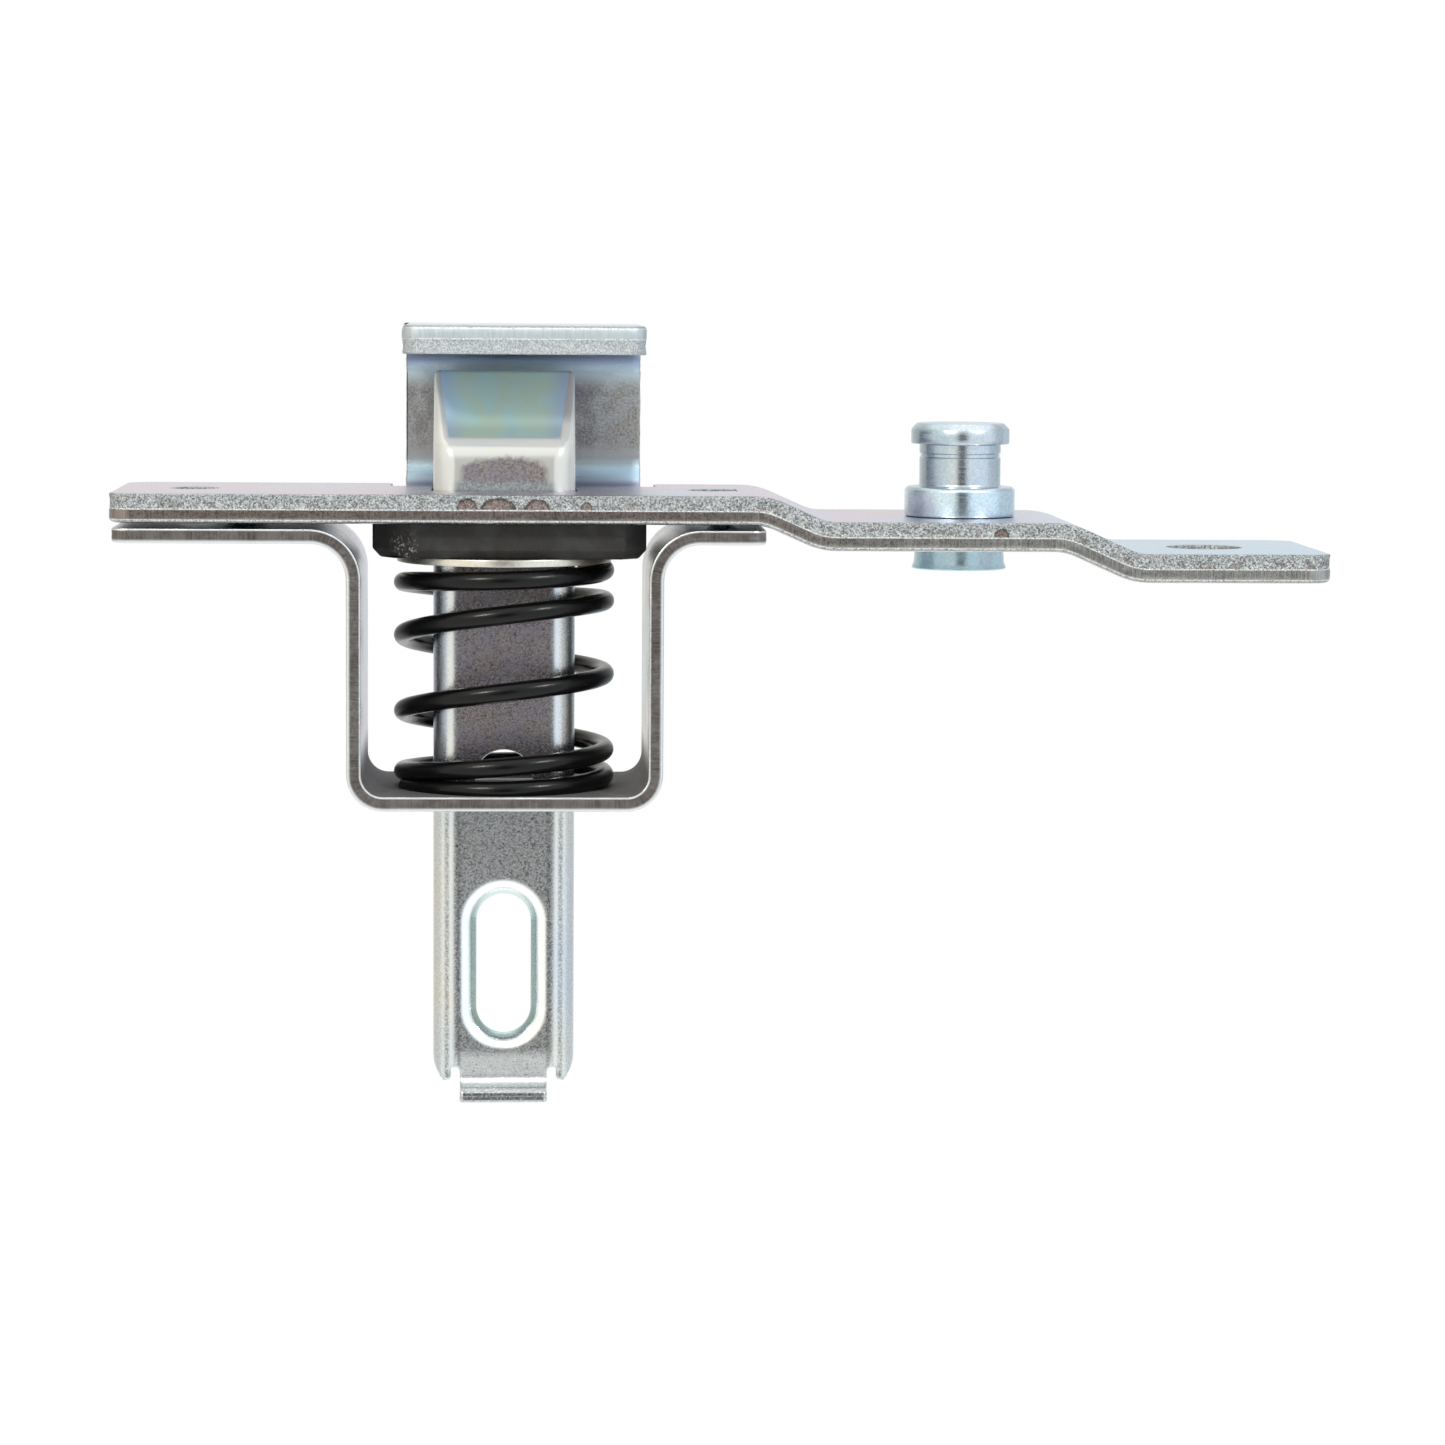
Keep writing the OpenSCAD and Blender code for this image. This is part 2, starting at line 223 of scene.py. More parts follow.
def sheet(outer, holes, lines_u, lines_v, rings, place, guides=(), is_free=None, rough=0.0):
    """A bent sheet part. rings lists (inset, depth below the upper face) round every rim, from the
    upper face to the lower, and place gives the point of the upper face for a pattern point."""
    verts, faces = cells(outer, list(holes), list(guides), lines_u, lines_v)
    edges, inward = rims(verts, faces, is_free or (lambda a, b: True))
    bm = bmesh.new()
    flat = bm.verts.layers.float_vector.new("flat")
    rim = bm.verts.layers.float.new("rim")
    used = sorted({i for face in faces for i in face})

    def make(p, depth, on_rim):
        here = place(p.x, p.y)
        h = 0.02
        du = place(p.x + h, p.y) - place(p.x - h, p.y)
        dv = place(p.x, p.y + h) - place(p.x, p.y - h)
        n = du.cross(dv).normalized()
        v = bm.verts.new((here - n * depth) * MM)
        v[flat] = (p.x, p.y, depth)
        v[rim] = on_rim
        return v

    layers = []
    for k, (inset, depth) in enumerate(rings):
        ends = k in (0, len(rings) - 1)
        layer = {}
        for i in used if ends else inward:
            p = verts[i].copy()
            if i in inward:
                wobble = 0.0 if ends else rough * noise.noise((p.x * 0.9, p.y * 0.9, depth * 1.3))
                p += inward[i] * (inset + wobble)
            layer[i] = make(p, depth, 0.0 if ends else 1.0)
        layers.append(layer)
    for face in faces:
        bm.faces.new([layers[0][i] for i in face])
        bm.faces.new([layers[-1][i] for i in reversed(face)])
    for above, below in zip(layers, layers[1:]):
        for a, b in edges:
            bm.faces.new([above[b], above[a], below[a], below[b]])
    return bm, layers, verts, used


def join_rings(bm, rings):
    """Faces between rings of the same count of points. A ring may be a single point."""
    for a, b in zip(rings, rings[1:]):
        count = max(len(a), len(b))
        for k in range(count):
            n = (k + 1) % count
            corners = [a[k % len(a)], b[k % len(b)], b[n % len(b)], a[n % len(a)]]
            bm.faces.new(list(dict.fromkeys(corners)))


def new_object(name, data):
    obj = bpy.data.objects.new(name, data)
    bpy.context.scene.collection.objects.link(obj)
    return obj


def smooth_object(name, bm, node, material, angle):
    """An object made from a bmesh, smooth up to this angle, that stands for a node of the frame."""
    bmesh.ops.recalc_face_normals(bm, faces=bm.faces)
    mesh = bpy.data.meshes.new(name)
    bm.to_mesh(mesh)
    bm.free()
    mesh.shade_smooth()
    mesh.set_sharp_from_angle(angle=math.radians(angle))
    mesh.materials.append(material)
    obj = new_object(name, mesh)
    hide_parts(node)
    return obj


def rigid_piece(name, bm, body, node, material, angle=38):
    """A piece that rides on one body, with its flat faces shaded flat."""
    bmesh.ops.remove_doubles(bm, verts=bm.verts, dist=1e-7)
    bmesh.ops.dissolve_degenerate(bm, dist=1e-7, edges=bm.edges)
    obj = smooth_object(name, bm, node, material, angle)
    obj.modifiers.new("flat_faces", "WEIGHTED_NORMAL").keep_sharp = True
    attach(obj, body)


# ---- Hinge plate ----

PLATE_T = 4.0
CORNER_R = 3.0
BOLT_X = 36.0
BOLT_R = 3.3
END_HOLE_X = 105.6
END_HOLE_R = 5.25
STEP_ANGLE = 24.0
STEP_R = 7.0
STEPS = ((40.9, 3.5), (82.3, 4.2))          # where each step starts, and its drop
HOOK_X = LATCH_X + 2.7
HOOK_W = 33.4
HOOK_WALL_Y = 14.0
HOOK_FOOT_R = 4.0
HOOK_LIP_R = 3.0
HOOK_GAP = PLATE_HI.z - PLATE_T
HOOK_DEPTH = 29.0
HOOK_CORNER_R = 2.5
RELIEF_W = 2.0
PLUNGER_W = PLUNGER_HI.x - PLUNGER_LO.x
PLUNGER_D = 14.0
CORNER_OUT = 3.3
GUIDE_GAP = 0.3
HOLE_BACK_R = 0.6

# Sheared edge, from the upper face down: a crisp edge, a torn zone, a burnished band and a rolled edge
PLATE_RINGS = [(0.22, 0), (0.07, 0.07), (0.02, 0.25), (0.1, 0.7), (0.13, 1.2), (0.1, 1.7), (0.05, 2.1),
               (0.0, 2.3), (0.0, 2.9), (0.0, 3.3), (0.07, 3.62), (0.24, 3.86), (0.6, 4.0)]


def plunger_hole(cx, gap, wider=0.0, deeper=0.0):
    """The plunger's outline from above with a gap round it, round at its front corners."""
    h = (PLUNGER_W + 2 * gap + wider) / 2
    front = -PLUNGER_D / 2 - gap
    back = PLUNGER_D / 2 + deeper + gap
    r = CORNER_OUT + gap
    return (corner(cx - h, front, r, 180, 10) + corner(cx + h, front, r, 270, 10)
            + corner(cx + h, back, HOLE_BACK_R, 0, 3) + corner(cx - h, back, HOLE_BACK_R, 90, 3))


def plate_strip():
    """The plate's strip. Each step down is a bend, a sloping flat and a bend back."""
    a = math.radians(STEP_ANGLE)
    bends = 2 * STEP_R + PLATE_T
    path, x = [], PLATE_LO.x
    for start, drop in STEPS:
        flat = (drop - bends * (1 - math.cos(a))) / math.sin(a)
        path += [(start - x,), (-STEP_ANGLE, STEP_R), (flat,), (STEP_ANGLE, STEP_R)]
        x = start + bends * math.sin(a) + flat * math.cos(a)
    return Strip(path + [(PLATE_HI.x - x,)], PLATE_T, PLATE_LO.x, 0.0)


def hinge_plate(material):
    strip = plate_strip()
    foot_y = HOOK_WALL_Y - HOOK_FOOT_R
    tab = Strip([(90, HOOK_FOOT_R), (HOOK_GAP - HOOK_FOOT_R - HOOK_LIP_R,), (90, HOOK_LIP_R),
                 (HOOK_DEPTH - HOOK_LIP_R,)], PLATE_T, foot_y, 0.0)
    left = HOOK_X - HOOK_W / 2
    right = HOOK_X + HOOK_W / 2
    stretch = strip.length - (PLATE_HI.x - PLATE_LO.x)
    far = PLATE_HI.x + stretch              # the pattern's right end: u is x up to the first step
    top = foot_y + tab.length
    slit = RELIEF_W / 2
    outer = (corner(PLATE_LO.x, FRONT_Y, CORNER_R, 180, 8) + corner(far, FRONT_Y, CORNER_R, 270, 8)
             + corner(far, HALF_DEPTH, CORNER_R, 0, 8)
             + [(right + RELIEF_W, HALF_DEPTH)] + arc(right + slit, foot_y, slit, 0, -180, 8)
             + corner(right, top, HOOK_CORNER_R, 0, 8) + corner(left, top, HOOK_CORNER_R, 90, 8)
             + arc(left - slit, foot_y, slit, 0, -180, 8) + [(left - RELIEF_W, HALF_DEPTH)]
             + corner(PLATE_LO.x, HALF_DEPTH, CORNER_R, 90, 8))
    end_hole = END_HOLE_X + stretch
    holes = [circle(-BOLT_X, 0, BOLT_R), circle(BOLT_X, 0, BOLT_R), circle(end_hole, 0, END_HOLE_R, 64),
             plunger_hole(LATCH_X, GUIDE_GAP)]
    lines_u = [PLATE_LO.x + s for s in strip.lines(1.6, 3)]
    lines_u = [u for u in lines_u if abs(abs(u - end_hole) - END_HOLE_R) > 0.4]    # none grazes the end hole
    lines_v = [-12.0, -6.0, 0.0, 6.0] + [foot_y + s for s in tab.lines(1.6, 6)]

    def place(u, v):
        if v > foot_y and left - 0.5 < u < right + 0.5:
            p = tab.at(v - foot_y)
            return Vector((u, p.x, p.y))
        p = strip.at(u - PLATE_LO.x)
        return Vector((p.x, v, p.y))

    bm = sheet(outer, holes, lines_u, lines_v, PLATE_RINGS, place, rough=0.1)[0]
    rigid_piece("plate_with_hook", bm, FIXED, "hinge_plate", material)


# ---- Spring bracket ----

BRACKET_T = 2.0
BRACKET_INNER = 39.4
BRACKET_X = LATCH_X + 0.15       # middle of the bracket's floor
SHOULDER_R = 5.0
FLOOR_R = 3.0
WELD_H = 0.8
WELDS = ((-28.7, 9.0, 3.0), (-28.7, -9.0, 3.0), (37.0, 10.0, 2.25), (37.0, -10.0, 2.25))
BRACKET_RINGS = [(0.16, 0), (0.05, 0.05), (0.0, 0.18), (0.02, 0.55), (0.03, 0.95), (0.0, 1.1), (0.0, 1.5),
                 (0.05, 1.8), (0.14, 1.92), (0.34, 2.0)]


def spring_bracket(material):
    foot_top = -PLATE_T - WELD_H
    half = BRACKET_INNER / 2 + BRACKET_T
    left_flat = BRACKET_X - half - SHOULDER_R - BRACKET_LO.x
    right_flat = BRACKET_HI.x - (BRACKET_X + half + SHOULDER_R)
    leg = foot_top - SHOULDER_R - BRACKET_T - BRACKET_LO.z - FLOOR_R - BRACKET_T
    path = [(left_flat,), (-90, SHOULDER_R), (leg,), (90, FLOOR_R), (BRACKET_INNER - 2 * FLOOR_R,),
            (90, FLOOR_R), (leg,), (-90, SHOULDER_R), (right_flat,)]
    strip = Strip(path, BRACKET_T, BRACKET_LO.x, foot_top)
    y = BRACKET_HI.y
    end = strip.length
    r = 2.0
    latch_u = end / 2 + (left_flat - right_flat) / 2 + LATCH_X - BRACKET_X
    outer = (corner(0, -y, r, 180, 6) + corner(end, -y, r, 270, 6)
             + corner(end, y, r, 0, 6) + corner(0, y, r, 90, 6))
    bolt_left = -BOLT_X - BRACKET_LO.x
    bolt_right = end - (BRACKET_HI.x - BOLT_X)
    holes = [circle(bolt_left, 0, BOLT_R), circle(bolt_right, 0, BOLT_R), plunger_hole(latch_u, GUIDE_GAP)]
    welds = [(x - BRACKET_LO.x if x < LATCH_X else end - (BRACKET_HI.x - x), v, wr) for x, v, wr in WELDS]
    guides = [circle(u, v, wr * k, 24) for u, v, wr in welds for k in (0.35, 0.6, 0.8, 1.0)]

    def place(u, v):
        p = strip.at(u)
        lift = 0.0
        for wu, wv, wr in welds:
            k = 1 - math.hypot(u - wu, v - wv) / wr
            if k > 0:
                k = min(1.0, k / 0.6)
                lift += (WELD_H - 0.02) * k * k * (3 - 2 * k)
        return Vector((p.x, v, p.y + lift))

    lines_v = [-13.0, -5.0, 0.0, 5.0, 13.0]
    bm = sheet(outer, holes, strip.lines(2.0, 6), lines_v, BRACKET_RINGS, place, guides=guides, rough=0.05)[0]
    rigid_piece("bracket_sheet", bm, FIXED, "spring_bracket", material)


# ---- Plunger ----

PLUNGER_T = 1.5
WEB_HALF = PLUNGER_W / 2 - CORNER_OUT
RAMP_Z = 6.0                    # where the ramp would meet the front web if the corner were sharp
RAMP_BACK = 5.5                 # where the ramp would meet the level top
RAMP_FOOT_R = 4.6
RAMP_TOP_R = 1.6
SIDE_TOP_R = 0.8                # rounding of the sides into the level top
CORNER_TOP = 0.95               # front corners' radius at the top of the ramp
TAIL_CORNER_Z = -82.6
FLANGE_Z = -79.6
FLANGE_R = 2.5
TAB_Z = -81.7
TAB_R = 1.5
TAB_MID_R = TAB_R + PLUNGER_T / 2
TAB_W = 12.1
TAB_LEN = 3.5
TAB_CORNER_R = 0.5
TAB_NOTCH_R = 0.8
SLOT_Z = -66.2
SLOT_RUN = 6.05
RIM_OUT = 6.3                   # half width of the dished rim
RIM_R = 2.2
RIM_TURN = math.radians(64)
RIM_WALL = 1.4
RIM_BENT = RIM_OUT - RIM_R * RIM_TURN       # where the rim's bend ends on the flat pattern
RIM_HOLE = RIM_BENT - RIM_WALL
WEB_HOLE_Z = -39.9
WEB_HOLE_R = 4.0
EAR_REACH = 3.5
EAR_R = 0.6
PLUNGER_RINGS = [(0.28, 0), (0.09, 0.06), (0.0, 0.25), (0.02, 0.6), (0.02, 0.85), (0.0, 1.0), (0.0, 1.28),
                 (0.06, 1.43), (0.22, 1.5)]


def front_line():
    """The plunger's front seen from the side, from its low end: up, round into the ramp, round into the top.
    With it comes the height where the ramp's foot starts."""
    rise, run = PLUNGER_HI.z - RAMP_Z, RAMP_BACK + PLUNGER_D / 2
    slope = math.atan2(rise, run)
    lean = math.pi / 2 - slope
    foot_tangent = RAMP_FOOT_R * math.tan(lean / 2)
    ramp = math.hypot(rise, run) - foot_tangent - RAMP_TOP_R * math.tan(slope / 2)
    foot = RAMP_Z - foot_tangent
    path = [(foot - PLUNGER_LO.z,), (-math.degrees(lean), RAMP_FOOT_R), (ramp,),
            (-math.degrees(slope), RAMP_TOP_R)]
    return Strip(path, 0.0, -PLUNGER_D / 2, PLUNGER_LO.z, math.pi / 2), foot


def drawn(rho):
    """Distance from the slot's middle line, and depth, of a point of the drawn rim."""
    if rho >= RIM_OUT:
        return rho, 0.0
    run = RIM_OUT - rho
    turn = min(RIM_TURN, run / RIM_R)
    wall = max(0.0, run - RIM_R * RIM_TURN)
    out = RIM_OUT - RIM_R * math.sin(turn) - wall * math.cos(RIM_TURN)
    return out, RIM_R * (1 - math.cos(turn)) + wall * math.sin(RIM_TURN)


# The plunger's flat pattern: s runs across from the middle of the web, over a front corner and along a
# side, and v is the height up to the ramp's foot and runs along the front above it
WEB_Y = -PLUNGER_D / 2
FRONT, RAMP_FOOT_Z = front_line()
TOP_V = PLUNGER_LO.z + FRONT.length
CORNER_S = (CORNER_OUT - PLUNGER_T / 2) * math.pi / 2
SIDE_S = WEB_HALF + CORNER_S
BACK_S = SIDE_S + PLUNGER_D - CORNER_OUT


def plunger_section(z):
    """Half width and front corner radius of the plunger's outline at height z."""
    share = max(0.0, min(1.0, (z - RAMP_FOOT_Z) / (PLUNGER_HI.z - RAMP_FOOT_Z)))
    over = max(0.0, z - (PLUNGER_HI.z - SIDE_TOP_R))
    inset = SIDE_TOP_R - math.sqrt(max(0.0, SIDE_TOP_R ** 2 - over ** 2))
    r = CORNER_OUT + (CORNER_TOP - CORNER_OUT) * share
    return PLUNGER_W / 2 - inset, max(0.45, r - inset)


def plunger_point(s, v):
    """The point of the plunger's outer face for a pattern point."""
    a = abs(s)
    along = max(-SLOT_RUN, min(SLOT_RUN, v - SLOT_Z))
    off = v - SLOT_Z - along
    rho = math.hypot(s, off)
    if rho < RIM_OUT:
        out, depth = drawn(rho)
        return Vector((LATCH_X + s * out / rho, WEB_Y + depth, SLOT_Z + along + off * out / rho))
    if v < TAB_Z and a < TAB_W / 2 + 0.3:
        turn = min(math.pi / 2, (TAB_Z - v) / TAB_MID_R)
        flat = max(0.0, TAB_Z - v - TAB_MID_R * math.pi / 2)
        y = WEB_Y - TAB_R * (1 - math.cos(turn)) - flat
        return Vector((LATCH_X + s, y, TAB_Z - TAB_R * math.sin(turn)))
    y, z = FRONT.at(min(v, TOP_V) - PLUNGER_LO.z)
    half, r = plunger_section(z)
    if a <= WEB_HALF:
        x = (half - r) * a / WEB_HALF
    elif a <= SIDE_S:
        turn = (a - WEB_HALF) / CORNER_S * math.pi / 2
        x = half - r + r * math.sin(turn)
        y += r - r * math.cos(turn)
    else:
        x = half
        y += r - (WEB_Y + y + r) * (a - SIDE_S) / (BACK_S - SIDE_S)
    return Vector((LATCH_X + math.copysign(x, s), y, z))


def plunger_outline():
    """The flat pattern's outline: half the tab, a notch, the tail's corner, a side with its ear, mirrored."""
    tab_low = TAB_Z - TAB_MID_R * math.pi / 2 - TAB_LEN
    notch = TAB_W / 2 + TAB_NOTCH_R
    ear_s = BACK_S + EAR_REACH
    ear_low, ear_high = BLOCK_LO.z + 0.1, BLOCK_HI.z - 0.1
    half = (corner(TAB_W / 2, tab_low, TAB_CORNER_R, -90, 4)
            + arc(notch, TAB_Z + 0.3, TAB_NOTCH_R, 180, 0, 8)
            + [(notch + TAB_NOTCH_R, TAIL_CORNER_Z + 0.4), (notch + TAB_NOTCH_R + 0.5, TAIL_CORNER_Z),
               (SIDE_S, FLANGE_Z)]
            + corner(BACK_S, FLANGE_Z, FLANGE_R, -90, 6) + [(BACK_S, ear_low)]
            + corner(ear_s, ear_low, EAR_R, -90, 3) + corner(ear_s, ear_high, EAR_R, 0, 3)
            + [(BACK_S, ear_high), (BACK_S, TOP_V)])
    return half + [(-s, v) for s, v in reversed(half)]


def plunger(material):
    holes = [stadium(SLOT_Z, RIM_HOLE, SLOT_RUN), circle(0, WEB_HOLE_Z, WEB_HOLE_R)]
    loops = [RIM_BENT - RIM_WALL / 2] + [RIM_BENT + (RIM_OUT - RIM_BENT) * k / 6 for k in range(7)]
    guides = [stadium(SLOT_Z, rho, SLOT_RUN) for rho in loops]
    right = [WEB_HALF] + spaced(WEB_HALF, SIDE_S, CORNER_S / 10) + [SIDE_S, SIDE_S + 3.5, SIDE_S + 7]
    lines_u = right + [-s for s in right]
    ramp = [PLUNGER_LO.z + s for s in FRONT.lines(1.2, 5)]
    ramp = [v for v in ramp if v > RAMP_FOOT_Z - 0.01]
    curl = [TAB_Z - TAB_MID_R * math.radians(a) for a in range(0, 91, 10)]
    lines_v = ramp + curl + [-78.6, -53.6, -46, -30, -20, -13, -9.5, -3, 0.5]

    def is_free(a, b):
        return min(a.y, b.y) < TOP_V - 0.01

    bm, layers, verts, used = sheet(plunger_outline(), holes, lines_u, lines_v, PLUNGER_RINGS, plunger_point,
                                    guides, is_free)
    top = sorted((i for i in used if verts[i].y > TOP_V - 0.01), key=lambda i: verts[i].x)
    bm.faces.new([layers[0][i] for i in top])
    bm.faces.new([layers[-1][i] for i in reversed(top)])
    first, last = top[0], top[-1]
    for above, below in zip(layers, layers[1:]):
        bm.faces.new([above[first], above[last], below[last], below[first]])
    rigid_piece("plunger_channel", bm, MOVING, "plunger", material)


# ---- Buffer block and washer ----

BLOCK_CORNER_FAR = 5.5
BLOCK_CORNER_NEAR = 3.0


def softened(points, r, steps=4):
    """A closed outline with every corner rounded to radius r."""
    result = []
    count = len(points)
    for i in range(count):
        before, here, after = (Vector(points[(i + k) % count]) for k in (-1, 0, 1))
        a, b = (before - here).normalized(), (after - here).normalized()
        angle = math.acos(max(-1, min(1, a.dot(b))))
        reach = r / math.tan(angle / 2)
        start, end = here + a * reach, here + b * reach
        for k in range(steps + 1):
            t = k / steps
            result.append(tuple((1 - t) ** 2 * start + 2 * t * (1 - t) * here + t * t * end))
    return result


def buffer_block(material):
    mid_x = (BLOCK_LO.x + BLOCK_HI.x) / 2
    w = (BLOCK_HI.x - BLOCK_LO.x) / 2
    d = (BLOCK_HI.y - BLOCK_LO.y) / 2
    a, b = BLOCK_CORNER_FAR, BLOCK_CORNER_NEAR
    plan = [(-w + a, -d), (w - b, -d), (w, -d + b), (w, d - b), (w - b, d), (-w + a, d), (-w, d - a),
            (-w, -d + a)]
    outer = softened([(mid_x + x, y) for x, y in plan], 0.8)
    hole = plunger_hole(LATCH_X, GUIDE_GAP / 2, wider=0.6, deeper=EAR_REACH)
    thick = BLOCK_HI.z - BLOCK_LO.z
    rings = [(0.35, 0), (0.1, 0.1), (0.0, 0.35), (0.0, 1.2), (0.0, 2.2), (0.0, thick - 1.35),
             (0.12, thick - 1.1), (0.75, thick - 0.42), (1.05, thick - 0.14), (1.4, thick)]
    lines_u = [LATCH_X + u for u in (-15, -12, 12, 15)]
    bm = sheet(outer, [hole], lines_u, [-11, 11.7], rings, lambda u, v: Vector((u, v, BLOCK_HI.z)))[0]
    rigid_piece("block_moulding", bm, MOVING, "buffer_block", material)


def spring_washer(material):
    r = (WASHER_HI.x - WASHER_LO.x) / 2
    hole = plunger_hole(LATCH_X, GUIDE_GAP / 2)
    rings = [(0.15, 0), (0.04, 0.04), (0.0, 0.15), (0.0, 0.85), (0.04, 0.96), (0.15, 1.0)]
    outer = circle(LATCH_X, 0, r, 96)
    bm = sheet(outer, [hole], [], [], rings, lambda u, v: Vector((u, v, WASHER_HI.z)))[0]
    rigid_piece("washer_ring", bm, MOVING, "spring_washer", material)


# ---- Spring ----

WIRE_R = 1.325
TURN_START, TURN_END = -0.35, 4.2
REST_TURN, SEAT_TURN = -0.2, 3.8
OPEN_TURN, CLOSE_TURN, EASE_TURNS = 0.5, 2.762, 0.5
LEAN = 2.4                      # how much lower each middle coil is at the back than at the front
LEAN_FROM, LEAN_TO = (0.0, 0.6), (3.0, 3.7)
TRAVEL = 16.4                   # how far the plunger is pushed down
END_PITCH = 2 * WIRE_R + 0.1
COIL_RINGS = 72                 # rings in each turn
WIRE_SIDES = 24


def eased(u):
    """Integral of a smooth step from 0 to 1."""
    if u < 0:
        return 0.0
    return u - 0.5 if u > 1 else u ** 3 - u ** 4 / 2


def opened(turn):
    """Turns of wide pitch that are passed from the top down to this turn."""
    return EASE_TURNS * (eased((turn - OPEN_TURN) / EASE_TURNS) - eased((turn - CLOSE_TURN) / EASE_TURNS))


def smooth(value, span):
    u = min(1.0, max(0.0, (value - span[0]) / (span[1] - span[0])))
    return u * u * (3 - 2 * u)


def leaned(turn):
    """How far the lean lowers the wire at this turn."""
    share = smooth(turn, LEAN_FROM) - smooth(turn, LEAN_TO)
    return LEAN * share * (1 - math.cos(2 * math.pi * turn)) / 2


def compression_spring(material):
    top, low = SPRING_HI.z, SPRING_LO.z
    whole = CLOSE_TURN - OPEN_TURN
    extra = (top - low - 2 * WIRE_R - END_PITCH * (SEAT_TURN - REST_TURN)) / whole
    coil_r = (SPRING_HI.x - SPRING_LO.x) / 2 - WIRE_R

    def centre(turn):
        a = math.radians(-90 - 360 * turn)
        z = top - WIRE_R - END_PITCH * (turn - REST_TURN) - extra * opened(turn) - leaned(turn)
        return Vector((LATCH_X + coil_r * math.cos(a), coil_r * math.sin(a), z)), a

    bm = bmesh.new()
    flat = bm.verts.layers.float_vector.new("flat")
    share = bm.verts.layers.float.new("follows_plunger")
    count = round((TURN_END - TURN_START) * COIL_RINGS)
    rings = []
    for i in range(count + 1):
        turn = TURN_START + (TURN_END - TURN_START) * i / count
        c, a = centre(turn)
        ahead = (centre(turn + 0.002)[0] - centre(turn - 0.002)[0]).normalized()
        out = Vector((math.cos(a), math.sin(a), 0))
        up = ahead.cross(out)
        follows = max(0.0, 1 - opened(turn) / whole - leaned(turn) / TRAVEL)
        ring = []
        for k in range(WIRE_SIDES):
            b = 2 * math.pi * k / WIRE_SIDES
            p = c + (out * math.cos(b) + up * math.sin(b)) * WIRE_R
            p.z = max(low, min(top, p.z))
            v = bm.verts.new(p * MM)
            v[flat] = (turn * 2 * math.pi * coil_r, b * WIRE_R, 0)
            v[share] = follows
            ring.append(v)
        rings.append(ring)
    join_rings(bm, rings)
    bm.faces.new(list(reversed(rings[0])))
    bm.faces.new(rings[-1])
    obj = smooth_object("spring_wire", bm, "compression_spring", material, 40)
    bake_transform(obj)
    shares = np.zeros(len(obj.data.vertices), np.float32)
    obj.data.attributes["follows_plunger"].data.foreach_get("value", shares)


# ---- Stud ----

HEAD_FLAT = 6.6
HEAD_TURN = math.radians(-20)
COLLAR_H = 4.2
NECK_H = 6.0
NECK_R = 5.7
COLLAR_R = 7.75
HEAD_R = 6.9
TOOL_MARKS = 22                 # turned grooves on the neck, and their depth
TOOL_MARK = 0.022
STUD_SIDES = 192


def stud_profile(seat, collar, neck):
    """(radius, z) down the stud's outside, from the middle of its head to the middle of its hollow tail."""
    top = STUD_HI.z
    low = STUD_LO.z
    groove = neck - 1.6
    under = seat - PLATE_T
    profile = [(0, top - 0.12), (2.2, top - 0.1), (5.4, top), (HEAD_R - 0.95, top),
               (HEAD_R - 0.75, top - 0.07), (HEAD_R - 0.12, top - 0.75), (HEAD_R, top - 0.95),
               (HEAD_R, neck + 0.22), (HEAD_R - 0.07, neck + 0.06), (HEAD_R - 0.22, neck),
               (NECK_R + 0.15, neck), (NECK_R, neck - 0.12), (NECK_R, groove + 0.35),
               (NECK_R - 0.16, groove + 0.2), (NECK_R - 0.16, groove - 0.2), (NECK_R, groove - 0.35)]
    start, end = groove - 0.45, collar + 0.35
    for i in range(2 * TOOL_MARKS + 1):
        z = start - (start - end) * i / (2 * TOOL_MARKS)
        profile.append((NECK_R - (TOOL_MARK if i % 2 else 0.0), z))
    return profile + [
        (NECK_R + 0.06, collar + 0.12), (NECK_R + 0.25, collar), (COLLAR_R - 0.55, collar),
        (COLLAR_R - 0.38, collar - 0.05), (COLLAR_R - 0.05, collar - 0.4), (COLLAR_R, collar - 0.6),
        (COLLAR_R, seat + 0.5), (COLLAR_R - 0.1, seat + 0.15), (COLLAR_R - 0.35, seat), (4.5, seat),
        (4.5, under), (6.0, under - 0.02), (6.2, under - 0.25), (6.35, low + 0.9), (6.58, low + 0.35),
        (6.62, low + 0.15), (6.5, low), (6.2, low + 0.02), (5.9, low + 0.2), (4.2, under + 0.2),
        (3.0, under + 0.75), (0, under + 0.8)]


def pivot_stud(material):
    seat = -STEPS[0][1]
    collar = seat + COLLAR_H
    neck = collar + NECK_H
    bm = bmesh.new()
    flat = bm.verts.layers.float_vector.new("flat")
    rings = []
    for r, z in stud_profile(seat, collar, neck):
        ring = []
        for k in range(STUD_SIDES if r else 1):
            a = 2 * math.pi * k / STUD_SIDES
            radius = r
            if z > neck - 0.01 and r > HEAD_FLAT - 1.5:
                bevel = max(0.0, (z - STUD_HI.z + 0.75)) * 0.25
                radius = min(r, (HEAD_FLAT - bevel) / max(abs(math.cos(a - HEAD_TURN)), 0.2))
            v = bm.verts.new(Vector((STUD_X + radius * math.cos(a), radius * math.sin(a), z)) * MM)
            v[flat] = (a * r, r, z)
            ring.append(v)
        rings.append(ring)
    join_rings(bm, rings)
    rigid_piece("stud_turned", bm, FIXED, "pivot_stud", material, angle=34)


# ---- Shader nodes ----

def tone(red, green, blue):
    """A colour given as it shows on a screen, 0 to 255, turned into linear light."""
    linear = [v / 255 / 12.92 if v <= 10 else ((v / 255 + 0.055) / 1.055) ** 2.4 for v in (red, green, blue)]
    return (*linear, 1.0)


def grey(level):
    """A grey of this much linear light."""
    return (level, level, level, 1.0)


